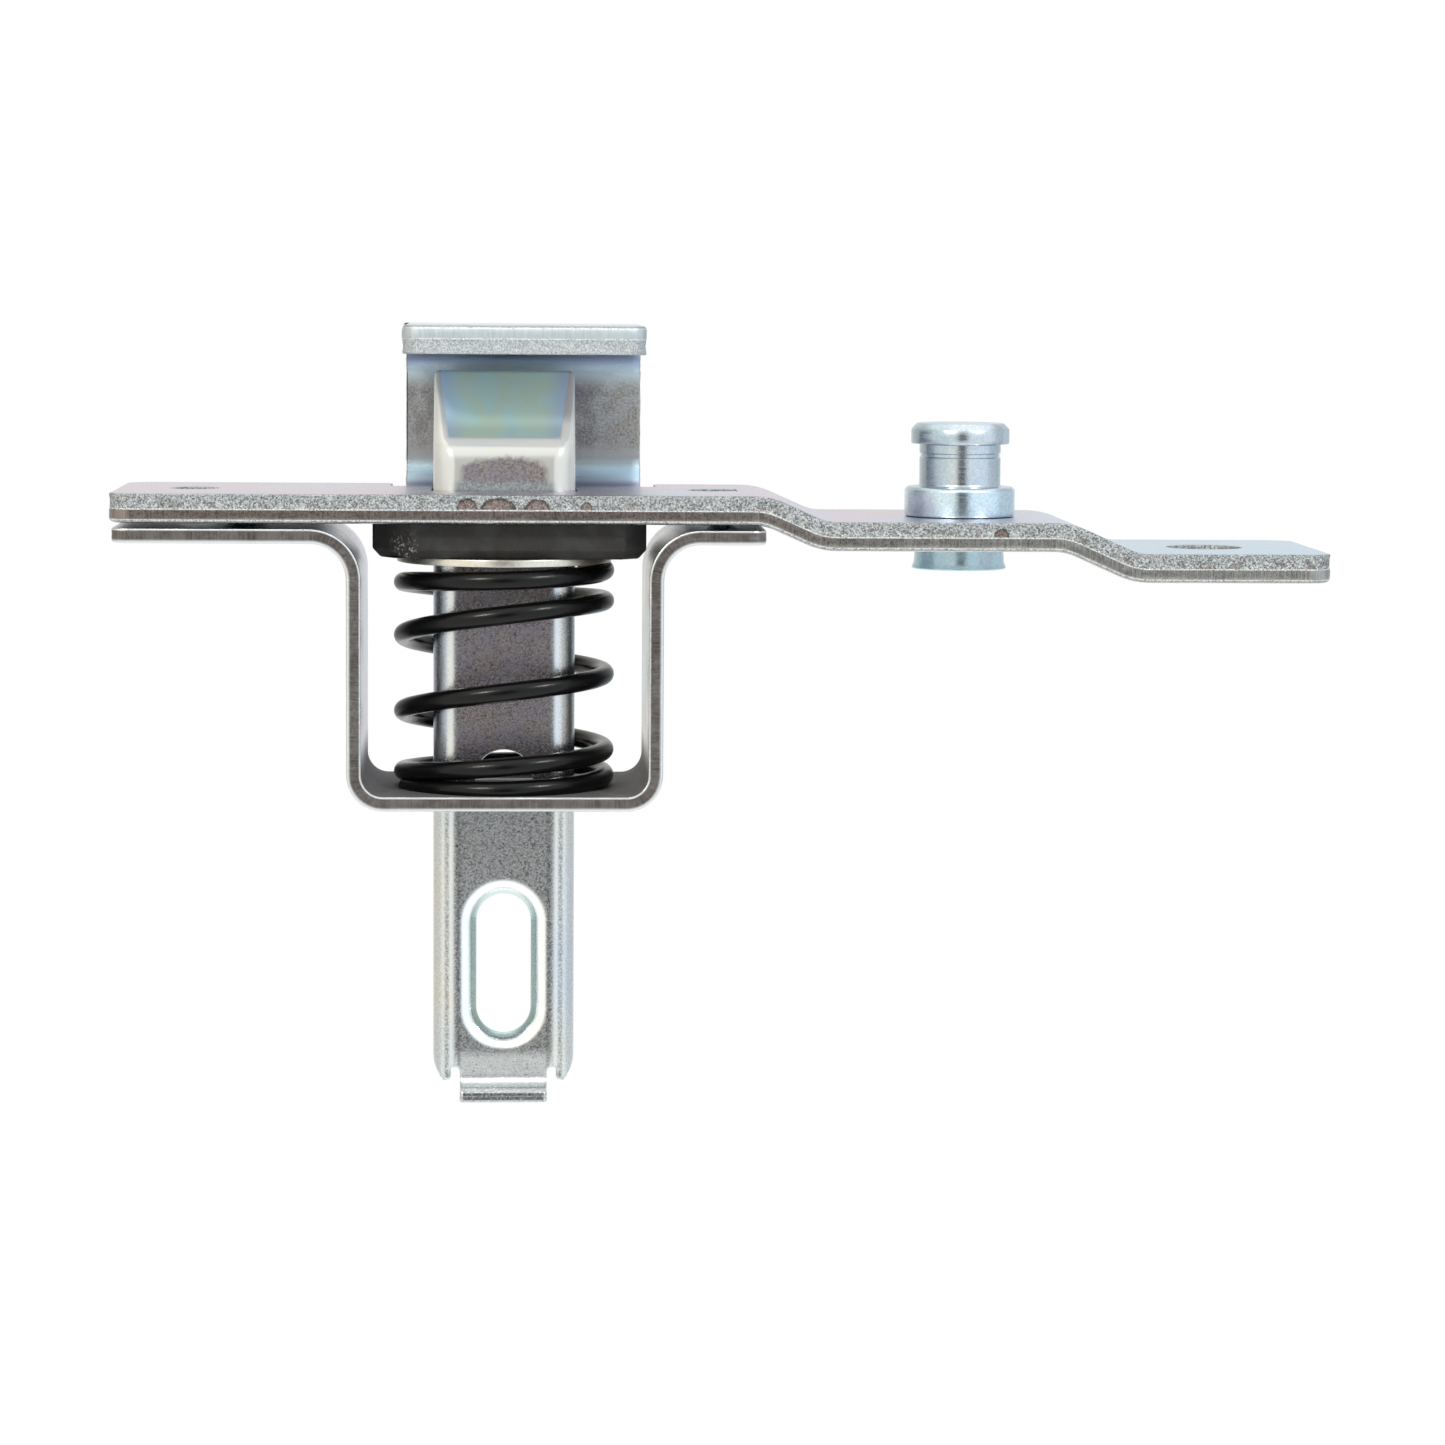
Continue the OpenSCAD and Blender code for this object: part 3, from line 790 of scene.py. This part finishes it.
class Value:
    """A node's output. Arithmetic with it adds Math nodes to its tree."""

    def __init__(self, nodes, socket):
        self.nodes = nodes
        self.socket = socket

    def __add__(self, other):
        return self.nodes.calc("ADD", self, other)

    def __sub__(self, other):
        return self.nodes.calc("SUBTRACT", self, other)

    def __rsub__(self, other):
        return self.nodes.calc("SUBTRACT", other, self)

    def __mul__(self, other):
        return self.nodes.calc("MULTIPLY", self, other)

    def __truediv__(self, other):
        return self.nodes.calc("DIVIDE", self, other)

    def __abs__(self):
        return self.nodes.calc("ABSOLUTE", self)


class Nodes:
    """Short calls that add nodes to one node tree. They take numbers, colours and values."""

    def __init__(self, tree):
        self.tree = tree

    def add(self, kind, **settings):
        node = self.tree.nodes.new("ShaderNode" + kind)
        for key, value in settings.items():
            setattr(node, key, value)
        return node

    def feed(self, socket, value):
        if isinstance(value, Value):
            self.tree.links.new(value.socket, socket)
        else:
            socket.default_value = value

    def calc(self, operation, a, b=0.0):
        node = self.add("Math", operation=operation)
        self.feed(node.inputs[0], a)
        self.feed(node.inputs[1], b)
        return Value(self, node.outputs[0])

    def larger(self, a, b):
        return self.calc("MAXIMUM", a, b)

    def root(self, a):
        return self.calc("SQRT", a)

    def span(self, value, low, high, start=0.0, end=1.0, smooth=True):
        """Runs from start to end as the value runs from low to high, which may be the larger."""
        node = self.add("MapRange", interpolation_type="SMOOTHSTEP" if smooth else "LINEAR")
        for socket, item in zip(node.inputs, (value, low, high, start, end)):
            self.feed(socket, item)
        return Value(self, node.outputs[0])

    def band(self, value, low, high, soft):
        """1 between low and high, and 0 outside, with soft ends."""
        return self.span(value, low - soft, low + soft) * self.span(value, high + soft, high - soft)

    def mix(self, share, a, b, mode="MIX"):
        node = self.add("Mix", data_type="RGBA", blend_type=mode)
        self.feed(node.inputs[0], share)
        self.feed(node.inputs[6], a)
        self.feed(node.inputs[7], b)
        return Value(self, node.outputs[2])

    def ramp(self, value, *stops):
        node = self.add("ValToRGB")
        elements = node.color_ramp.elements
        while len(elements) < len(stops):
            elements.new(0.5)
        for element, (place, colour) in zip(elements, stops):
            element.position = place
            element.color = colour
        self.feed(node.inputs[0], value)
        return Value(self, node.outputs[0])

    def scaled(self, where, x, y, z, shift=(0.0, 0.0, 0.0)):
        node = self.add("Mapping")
        self.feed(node.inputs["Vector"], where)
        node.inputs["Location"].default_value = shift
        node.inputs["Scale"].default_value = (x, y, z)
        return Value(self, node.outputs[0])

    def noise(self, where, scale, detail=3.0, rough=0.55, warp=0.0):
        node = self.add("TexNoise")
        self.feed(node.inputs["Vector"], where)
        for name, value in (("Scale", scale), ("Detail", detail), ("Roughness", rough), ("Distortion", warp)):
            node.inputs[name].default_value = value
        return Value(self, node.outputs["Fac"])

    def axes(self, vector):
        node = self.add("SeparateXYZ")
        self.feed(node.inputs[0], vector)
        return [Value(self, socket) for socket in node.outputs]

    def place(self, output):
        return Value(self, self.add("TexCoord").outputs[output])

    def attribute(self, name, output):
        return Value(self, self.add("Attribute", attribute_name=name).outputs[output])


class Finish(Nodes):
    """One material on a Principled shader. Its coordinates are in millimetres."""

    def __init__(self, name, metallic, roughness, specular=0.5):
        self.material = bpy.data.materials.new(name)
        self.material.use_nodes = True
        super().__init__(self.material.node_tree)
        self.inputs = self.tree.nodes["Principled BSDF"].inputs
        self.metallic(metallic)
        self.roughness(roughness)
        self.inputs["Specular IOR Level"].default_value = specular
        self.where = self.scaled(self.place("Object"), 1 / MM, 1 / MM, 1 / MM)
        self.x, self.y, self.z = self.axes(self.where)

    def paint(self, colour, share=None):
        """Lays a colour over those painted before, as strong as its share."""
        self.painted = colour if share is None else self.mix(share, self.painted, colour)
        self.feed(self.inputs["Base Color"], self.painted)

    def metallic(self, value):
        self.feed(self.inputs["Metallic"], value)

    def roughness(self, value):
        self.feed(self.inputs["Roughness"], value)

    def relief(self, height, depth):
        """A bump of this depth in millimetres where the height runs from 0 to 1."""
        node = self.add("Bump")
        node.inputs["Strength"].default_value = 1.0
        node.inputs["Distance"].default_value = depth * MM
        self.feed(node.inputs["Height"], height)
        self.tree.links.new(node.outputs[0], self.inputs["Normal"])


def grain(f, size):
    """Fine mottling of an electroplated surface: cells of about this size in millimetres, 0 to 1."""
    return f.span(f.noise(f.where, 1 / size, 5.0, 0.7), 0.38, 0.62, smooth=False)


def clouds(f, scale):
    """Soft clouds from 0 to 1, with this many to the millimetre."""
    return f.span(f.noise(f.where, scale, 3.0), 0.35, 0.65)


def scratches(f, where, across, along):
    """Scratches of a sheared band: cells per millimetre across them, and along them."""
    return f.span(f.noise(f.scaled(where, across, across, along), 1.0, 4.0, 0.6), 0.3, 0.7, smooth=False)


# ---- Materials ----

# Tints of a bright blue passivated zinc coating
SILVER = tone(222, 225, 227)
STEEL_BLUE = tone(196, 214, 228)
CREAM = tone(228, 226, 214)
LILAC = tone(214, 204, 214)
VIOLET = tone(166, 164, 196)
OLIVE = tone(192, 194, 172)
BROWN = tone(140, 126, 120)
DULL = tone(196, 198, 200)

# Depths below the upper face on the plate's sheared edge
TORN_END = 2.0
BURNISHED = (2.2, 3.48)
ROLLED = 3.66

# Brown mounds in the torn zone of the plate's front edge: middle, half width and height
STAINS = ((1.9, 1.6, 1.7), (6.2, 2.7, 1.75), (11.5, 1.9, 1.6), (18.2, 0.9, 1.2), (75.0, 1.2, 1.3))


def burnished(f, lines, lip):
    """The scratched band of the sheared edge: brown, greyer to the right and bluish on the hook's lip."""
    streak = f.mix(lines, tone(126, 116, 112), tone(152, 142, 137))
    far = f.mix(lines, tone(142, 140, 136), tone(176, 175, 170))
    streak = f.mix(f.span(f.x, 20.0, 80.0), streak, far)
    return f.mix(lip, streak, f.mix(lines, tone(174, 184, 188), tone(192, 202, 206)))


def stained(f, edge, depth, torn):
    """The edge's colour with its brown mounds, each with a ragged dark outline."""
    front = f.span(f.y, FRONT_Y + 2.0, FRONT_Y + 1.0) * f.span(depth, TORN_END + 0.05, TORN_END - 0.05)
    ragged = f.noise(f.where, 2.2, 4.0, 0.65) * 0.9
    brown = f.mix(torn, tone(84, 74, 71), tone(150, 134, 128))
    for middle, half, rise in STAINS:
        across = (f.x - middle) / half
        up = (TORN_END - depth) / rise
        reach = across * across + up * up + ragged
        outlined = f.mix(f.span(reach, 0.8, 1.15), brown, tone(66, 58, 56))
        edge = f.mix(f.span(reach, 1.4, 1.15) * front * 0.9, edge, outlined)
    return edge


def sheared_edge(f, depth, lip):
    """Colour of the plate's sheared edge from the upper face down, its torn grain and its scratches."""
    torn = grain(f, 0.25)
    lines = scratches(f, f.where, 3.4, 0.2)
    edge = f.ramp(torn, (0.0, tone(88, 90, 92)), (0.45, tone(152, 156, 158)), (1.0, tone(202, 205, 207)))
    edge = f.mix(lip * 0.45, edge, tone(190, 198, 201))
    edge = f.mix(f.band(depth, *BURNISHED, 0.08), edge, burnished(f, lines, lip))
    patches = f.span(f.noise(f.where, 0.9, 4.0, 0.6), 0.53, 0.58) * f.band(depth, 1.0, 2.0, 0.15) * (1 - lip)
    patches *= f.span(f.x, 60.0, 90.0, 0.5, 0.8)
    edge = f.mix(patches, edge, f.mix(torn, tone(96, 92, 88), BROWN))
    edge = stained(f, edge, depth, torn)
    bright = f.larger(f.band(depth, 2.03, 2.15, 0.05), f.band(depth, 3.5, 3.62, 0.05))
    edge = f.mix(bright * f.span(torn, 0.1, 0.6, 0.25, 0.7), edge, tone(228, 232, 232))
    edge = f.mix(f.span(depth, ROLLED, ROLLED + 0.1) * 0.6, edge, tone(150, 150, 150))
    return edge, torn, lines


def top_tint(f, drift):
    """Pale lilac of the plate's top, bluish at its low end."""
    tint = f.ramp(drift, (0.4, tone(194, 182, 198)), (0.5, tone(200, 182, 190)), (0.6, tone(186, 188, 202)))
    return f.mix(f.span(f.x, 78.0, 90.0), tint, tone(184, 202, 214))


def paint_hook_wall(f, wall, speck):
    """The hook's wall in bands: a plain tint up its middle, painted highlights and reflections where it bends
    into its foot and into its lip, and dull blotches across its middle.
    """
    # Painted highlights and reflections: the bright, blue and violet bands near both ends lie on the wall's
    # bends into the foot and the lip.
    wall_tint_and_bend_light = f.ramp(f.span(f.z, 0.0, HOOK_GAP, smooth=False), (0.0, VIOLET), (0.045, tone(202, 220, 234)),
                  (0.1, tone(172, 200, 214)), (0.16, tone(152, 168, 175)), (0.25, tone(180, 184, 186)),
                  (0.74, tone(190, 195, 197)), (0.83, tone(196, 216, 222)), (0.93, tone(166, 192, 212)),
                  (1.0, tone(156, 156, 182)))
    f.paint(wall_tint_and_bend_light, wall)
    cloud = clouds(f, 0.35)
    middle = wall * f.band(f.z, 5.0, 14.5, 1.5)
    f.paint(tone(104, 96, 94), middle * ((1 - speck) * 0.5 + cloud * 0.3))
    f.paint(OLIVE, middle * f.span(f.x, 19.5, 24.0) * cloud * speck * 0.6)


def hook_underside(f):
    """Blue, lilac and pink bands along the underside of the hook's lip."""
    return f.ramp(f.span(f.x, -6.0, 26.0, smooth=False), (0.0, tone(150, 172, 196)),
                  (0.3, tone(172, 172, 194)), (0.55, tone(196, 192, 202)), (0.78, tone(196, 182, 188)),
                  (1.0, tone(170, 176, 194)))


def zinc_plate():
    """Tinted faces with painted highlights and reflections on the hook's bends, speckled finely, and a
    sheared edge with torn, burnished and rolled zones.
    """
    f = Finish("zinc_plate", 1.0, 0.35)
    depth = f.axes(f.attribute("flat", "Vector"))[2]
    rim = f.attribute("rim", "Fac")
    face = 1 - rim
    speck = grain(f, 0.35)
    drift = f.noise(f.where, 0.045, 2.0)
    upper = face * f.span(depth, 2.0, 1.0)
    top = upper * f.span(f.z, 2.0, 1.0)
    wall = upper * f.span(f.y, 8.5, 10.0) * f.span(f.z, 0.0, 0.5)
    under = upper * f.band(f.z, HOOK_GAP - 1.0, HOOK_GAP + 0.6, 0.3) * f.span(f.y, 13.0, 10.0)
    lip = f.span(f.z, HOOK_GAP - 2.0, HOOK_GAP - 1.0)

    f.paint(f.ramp(drift, (0.36, STEEL_BLUE), (0.46, SILVER), (0.54, LILAC), (0.62, SILVER), (0.7, CREAM)))
    f.paint(top_tint(f, drift), top * 0.9)
    paint_hook_wall(f, wall, speck)
    f.paint(hook_underside(f), under)
    edge, torn, lines = sheared_edge(f, depth, lip)
    f.paint(edge, rim)

    smooth_band = rim * f.span(depth, 2.05, 2.3)
    broken = rim * f.span(depth, 2.3, 2.05)
    rough = speck * 0.12 + 0.24 + broken * 0.22
    f.roughness(rough + lip * smooth_band * 0.25 + f.larger(wall, under) * 0.16)
    streaks = lines * smooth_band * f.span(lip, 0, 1, 0.2, 0.04)
    f.relief(speck * face * 0.15 + torn * broken * 0.8 + streaks, 0.06)
    return f.material


def zinc_bracket():
    """Pale outside, with painted shade that darkens and dulls the inner floor and greys the inner faces by
    the front edge, and a brown scratched edge between bright borders.
    """
    f = Finish("zinc_bracket", 1.0, 0.35)
    pattern = f.attribute("flat", "Vector")
    depth = f.axes(pattern)[2]
    rim = f.attribute("rim", "Fac")
    face = 1 - rim
    speck = grain(f, 0.35)
    inside = face * f.span(depth, 1.0, 0.5)
    # Painted shade: the inner floor under the spring, where shade falls and the dark spring is reflected, and
    # the inner faces by the front edge.
    seat = inside * f.span(f.z, -34.0, -40.0)
    painted_front_shade = inside * f.span(f.y, -14.8, -16.2)

    drift = f.noise(f.where, 0.05, 2.0)
    f.paint(f.ramp(drift, (0.36, STEEL_BLUE), (0.47, DULL), (0.55, SILVER), (0.66, LILAC)))
    f.paint(BROWN, (1 - speck) * 0.3)
    # Painted shade and reflection on the inner floor, then painted shade on the inner faces by the front
    # edge.
    f.paint(f.mix(speck, tone(58, 55, 54), tone(84, 81, 80)), seat * 0.92)
    f.paint(tone(104, 102, 101), painted_front_shade * 0.75)
    lines = scratches(f, pattern, 4.5, 0.3)
    edge = f.mix(lines, tone(84, 78, 76), tone(128, 122, 120))
    edge = f.mix(clouds(f, 0.4) * 0.4, edge, tone(148, 145, 143))
    border = f.larger(f.span(depth, 0.34, 0.22), f.span(depth, 1.35, 1.8))
    f.paint(f.mix(border * 0.8, edge, tone(226, 230, 231)), rim)

    # The inner floor's painted shade also takes away most of its metal and makes it rougher.
    f.metallic(1 - seat * 0.85)
    f.roughness(speck * 0.12 + 0.24 + rim * 0.06 + seat * 0.4)
    f.relief(speck * face * 0.15 + lines * rim * 0.4, 0.05)
    return f.material


def shaft_mottle_and_shade(f, speck):
    """Brown mottled wear of the web that slides in the plate, with violet clouds, made dark as painted shade
    behind the spring and as a painted dark reflection just above the plate.
    """
    mottle = f.mix(speck, tone(90, 78, 76), tone(150, 142, 140))
    return f.mix(clouds(f, 0.3) * 0.3, mottle, tone(120, 120, 150))


def tail_tint(f, v, speck):
    """Grey speckle of the web's lower part, almost white where it bends into the tab."""
    speckle = f.mix(speck, tone(100, 100, 102), tone(178, 179, 180))
    return f.mix(f.span(v, -77.6, -79.6) * 0.85, speckle, tone(222, 225, 226))


def ramp_tint(f, v, across):
    """Teal and straw tint of the ramp, bluer at its sides, with painted shade that darkens its foot so the
    ramp looks evenly lit.
    """
    drift = f.noise(f.scaled(f.where, 0.09, 0.05, 0.1, (3.1, 0, 0)), 1.0, 2.0, 0.5, 0.4)
    tint = f.ramp(drift, (0.36, tone(186, 232, 244)), (0.46, tone(198, 243, 238)),
                  (0.58, tone(208, 238, 216)), (0.7, tone(196, 243, 240)))
    tint = f.mix(f.span(across, 4.0, 7.0), tint, tone(186, 220, 244))
    # Painted shade: the foot, lit by the key lights below the lip's shadow, is darkened to match the shaded
    # top.
    shade = f.ramp(f.span(v, 9.0, 13.5), (0.0, grey(0.42)), (1.0, grey(1.0)))
    return f.mix(1.0, tint, shade, "MULTIPLY")


def zinc_plunger():
    """Bright rounded corners, a brown web with painted shade and reflection, a tinted ramp with painted shade
    at its foot, a pale upper front as a painted highlight, and a grey tail with painted dark reflections
    along its corners and a white painted highlight round its slot.
    """
    f = Finish("zinc_plunger", 1.0, 0.3)
    s, v, depth = f.axes(f.attribute("flat", "Vector"))
    rim = f.attribute("rim", "Fac")
    face = 1 - rim
    speck = grain(f, 0.3)
    across = abs(s)
    beyond = f.larger(abs(v - SLOT_Z) - SLOT_RUN, 0.0)
    from_slot = f.root(s * s + beyond * beyond)
    front = face * f.span(depth, 1.0, 0.5)
    web = front * f.span(across, WEB_HALF + 0.7, WEB_HALF - 0.3)
    web *= f.span(from_slot, RIM_OUT - 0.9, RIM_OUT + 0.2)
    tail = f.span(v, -42.0, -46.0)
    arch = v + s * s * 0.035 + f.noise(f.where, 0.9, 4.0, 0.6) * 1.6
    inset = f.larger(f.span(v, 0.8, -0.4), f.span(across, 6.6, 5.2))
    # Painted shade and reflection with brown mottling: the web from behind the spring up to an arch just
    # above the plate.
    shaft_wear_and_shade = f.span(v, -46.0, -42.0) * f.span(arch, 6.1, 5.0) * inset
    # Painted highlight: the web's upper front is pale and partly non-metallic, and the ramp's foot rounding
    # is most so, standing for its bright reflection.
    pale_cap_highlight = front * f.span(v, -0.4, 0.4) * f.span(across, 11.5, 10.0)
    ramp = front * f.span(v, 7.4, 8.2) * f.span(across, 7.4, 6.8)
    side = face * f.span(v, 0.0, -1.0) * f.span(across, WEB_HALF + 0.2, WEB_HALF + 1.0)
    # Painted dark reflections: thin lines along both sides of each corner bend.
    painted_corner_lines = f.larger(f.band(across, WEB_HALF + 0.85, WEB_HALF + 1.35, 0.2),
                       f.band(across, WEB_HALF - 0.55, WEB_HALF - 0.05, 0.25))
    # Painted highlight: white on the drawn rim's bend round the slot.
    rim_highlight = f.band(from_slot, RIM_OUT - 1.9, RIM_OUT - 0.5, 0.3)
    well = f.span(from_slot, RIM_OUT - 1.0, RIM_OUT - 1.6) * f.span(v, -46.0, -50.0)

    f.paint(f.ramp(f.noise(f.where, 0.06, 2.0), (0.36, tone(214, 222, 228)), (0.5, SILVER), (0.66, CREAM)))
    # Painted highlight on the upper front.
    f.paint(tone(201, 203, 199), pale_cap_highlight * 0.85)
    # Painted shade and reflection on the brown web.
    f.paint(shaft_mottle_and_shade(f, speck), web * shaft_wear_and_shade * 0.92)
    # Painted reflection: a teal grey band where the web meets the plate, standing for the plate's front strip
    # seen in the web.
    foot = f.mix(speck, tone(120, 132, 134), tone(164, 176, 176))
    f.paint(foot, web * f.band(v, -0.5, 1.3, 0.5) * 0.7)
    f.paint(tail_tint(f, v, speck), web * tail * 0.92)
    # Ramp tint with painted shade at its foot.
    f.paint(ramp_tint(f, v, across), ramp * 0.9)
    f.paint(tone(160, 162, 158), side * (1 - speck) * 0.4)
    # Painted dark reflections along the tail's corners.
    f.paint(tone(112, 116, 115), painted_corner_lines * tail * face * f.span(speck, 0, 1, 0.75, 0.3))
    # Painted highlight on the slot's drawn rim.
    f.paint(tone(240, 243, 243), rim_highlight * tail * face)
    f.paint(tone(186, 214, 212), well * f.span(from_slot, RIM_OUT - 2.0, RIM_OUT - 2.6) * 0.8)
    edge = f.mix(speck, tone(160, 166, 168), tone(216, 220, 220))
    f.paint(f.mix(well, edge, tone(166, 198, 196)), rim)

    # Painted highlight: the ramp's foot rounding loses most of its metal so its pale colour shows as a bright
    # band; the ramp loses most of its metal too.
    shoulder_highlight = pale_cap_highlight * f.span(v, 4.0, 7.2) * f.span(across, 10.4, 9.2) * 0.68
    f.metallic(1 - f.larger(f.larger(shoulder_highlight, pale_cap_highlight * 0.6), ramp * 0.85))
    f.roughness(speck * f.span(pale_cap_highlight, 0, 1, 0.08, 0.01) + 0.2 + ramp * 0.28)
    worn = web * f.larger(shaft_wear_and_shade, tail) * 0.3
    f.relief(speck * f.larger(f.span(pale_cap_highlight, 0, 1, 0.06, 0.01), worn), 0.05)
    return f.material


def zinc_stud():
    """Turned, with fine rings, bluer on its left, a pale collar and a blue flared tail."""
    f = Finish("zinc_stud", 1.0, 0.2)
    turned = f.noise(f.scaled(f.attribute("flat", "Vector"), 0.03, 2.5, 5.0), 1.0, 4.0, 0.7)
    speck = grain(f, 0.4)
    off = f.x - STUD_X
    blue = f.larger(f.span(off, -1.2, -2.8), f.span(off, 3.8, 4.8) * 0.3)
    collar = f.band(f.z, -3.3, 0.3, 0.3)
    flare = f.span(f.z, -6.5, -7.5)
    f.paint(f.ramp(f.noise(f.where, 0.09, 2.0), (0.36, tone(190, 207, 220)), (0.5, tone(202, 211, 219)),
                   (0.64, tone(210, 215, 218))))
    f.paint(tone(170, 192, 208), blue * 0.75)
    f.paint(tone(212, 236, 250), collar * 0.8)
    f.paint(tone(172, 206, 218), flare * 0.8)
    f.paint(tone(140, 146, 148), (1 - speck) * 0.3)
    f.roughness(f.span(turned, 0.3, 0.7, 0.18, 0.3, smooth=False))
    f.relief(turned + speck * 0.3, 0.008)
    return f.material


def zinc_washer():
    """Plain pale zinc."""
    f = Finish("zinc_washer", 1.0, 0.3)
    speck = grain(f, 0.4)
    f.paint(f.mix(speck, tone(206, 202, 190), tone(222, 219, 208)))
    f.roughness(speck * 0.06 + 0.28)
    f.relief(speck, 0.002)
    return f.material


def black_block():
    """Matt moulded rubber with chips at its left lower front corner."""
    f = Finish("black_block", 0.0, 0.6, 0.3)
    speck = grain(f, 0.22)
    dusty = f.span(f.noise(f.where, 0.25, 3.0), 0.45, 0.65)
    left = f.span(f.x, BLOCK_LO.x + 6.8, BLOCK_LO.x + 4.5)
    worn = left * f.span(f.z, -4.5, -8.5) * f.span(f.y, -10.5, -12.5)
    chips = f.span(f.noise(f.where, 2.2, 4.0, 0.7), 0.54, 0.6)
    f.paint(f.mix(speck, tone(30, 29, 28), tone(44, 43, 42)))
    f.paint(tone(70, 70, 70), dusty * 0.25)
    f.paint(tone(190, 190, 188), worn * chips * 0.9)
    f.roughness(speck * 0.2 + 0.5)
    f.relief(speck, 0.03)
    return f.material


def black_spring():
    """Satin black coated wire."""
    f = Finish("black_spring", 0.0, 0.22, 0.25)
    speck = grain(f, 0.3)
    along = f.noise(f.scaled(f.attribute("flat", "Vector"), 0.15, 0.8, 1.0), 1.0, 3.0)
    f.paint(f.mix(along, tone(5, 5, 5), tone(11, 11, 12)))
    f.roughness(speck * 0.06 + 0.16 + along * 0.06)
    f.relief(speck, 0.004)
    return f.material


# ---- Stage ----

EYE = Vector((LATCH_X, FRONT_Y - 590, 29))      # straight in front of the plunger
AIM = Vector((36.9, FRONT_Y, -31))              # the middle of the frame
ROLL = math.radians(0.4)
LENS = 108
FLOOR_HALF, FLOOR_Z = 3.0, -0.95                # in metres
KEY_AIM = (0.02, 0, -0.02)                      # both key lights, in metres and watts
KEY_SIZE = (0.14, 0.1)
KEY_POWER = 3.6
GAP_TURN, GAP_RISE = 12.0, 24.0                 # half width and half height of the dark gap, in degrees
HAZE = ((0, 1.2), (74, 1.2), (88, 0.85), (138, 0.75), (160, 1.0), (180, 1.0))   # degrees round, level


def look_at(obj, target, roll=0.0):
    aim = (Vector(target) - obj.location).to_track_quat("-Z", "Y")
    obj.rotation_euler = aim.to_euler("XYZ")
    obj.rotation_euler.rotate_axis("Z", roll)


def key_light(name, place, colour):
    data = bpy.data.lights.new(name, "AREA")
    data.shape = "RECTANGLE"
    data.size, data.size_y = KEY_SIZE
    data.energy = KEY_POWER
    data.color = colour
    obj = new_object(name, data)
    obj.location = place
    look_at(obj, KEY_AIM)


def studio():
    """Bright soft surroundings with a dark gap behind the camera, cream on the left, bluish on the right."""
    world = bpy.data.worlds.new("studio")
    bpy.context.scene.world = world
    world.use_nodes = True
    n = Nodes(world.node_tree)
    x, y, z = n.axes(n.place("Generated"))
    turn = n.calc("ARCTAN2", abs(x), y * -1.0) / math.pi
    light = n.ramp(turn, *[(angle / 180, grey(level)) for angle, level in HAZE])
    across = turn / (GAP_TURN / 180)
    up = z / math.sin(math.radians(GAP_RISE))
    gap = n.root(across * across + up * up)
    light = n.mix(n.span(gap, 0.8, 1.25), (0.07, 0.065, 0.065, 1), light)
    light = n.mix(n.span(z, 0.6, 0.85), light, grey(1.6))
    tint = n.mix(n.span(x, -0.5, 0.5), tone(255, 251, 242), tone(242, 249, 255))
    seen = Value(n, n.add("LightPath").outputs["Is Camera Ray"])
    n.feed(n.tree.nodes["Background"].inputs[0], n.mix(seen, n.mix(1.0, light, tint, "MULTIPLY"), grey(1.0)))


def pale_floor():
    mesh = bpy.data.meshes.new("floor")
    corners = [(x * FLOOR_HALF, y * FLOOR_HALF, FLOOR_Z) for x, y in ((-1, -1), (1, -1), (1, 1), (-1, 1))]
    mesh.from_pydata(corners, [], [(0, 1, 2, 3)])
    f = Finish("floor_white", 0.0, 0.9, 0.1)
    f.paint(f.mix(f.noise(f.where, 0.002, 2.0), tone(244, 244, 244), tone(250, 250, 250)))
    mesh.materials.append(f.material)
    new_object("floor", mesh)


def photo_camera():
    camera = bpy.data.cameras.new("camera")
    camera.lens = LENS
    camera.clip_start, camera.clip_end = 0.01, 20
    obj = new_object("camera", camera)
    obj.location = EYE * MM
    look_at(obj, AIM * MM, ROLL)
    bpy.context.scene.camera = obj


photo_camera()
hinge_plate(zinc_plate())
spring_bracket(zinc_bracket())
plunger(zinc_plunger())
buffer_block(black_block())
spring_washer(zinc_washer())
compression_spring(black_spring())
pivot_stud(zinc_stud())
pale_floor()
studio()
key_light("key_left", (-0.42, -0.78, 0.55), (1, 0.97, 0.9))
key_light("key_right", (0.62, -0.66, 0.55), (1, 0.97, 0.92))
bpy.context.scene.view_settings.view_transform = "Standard"
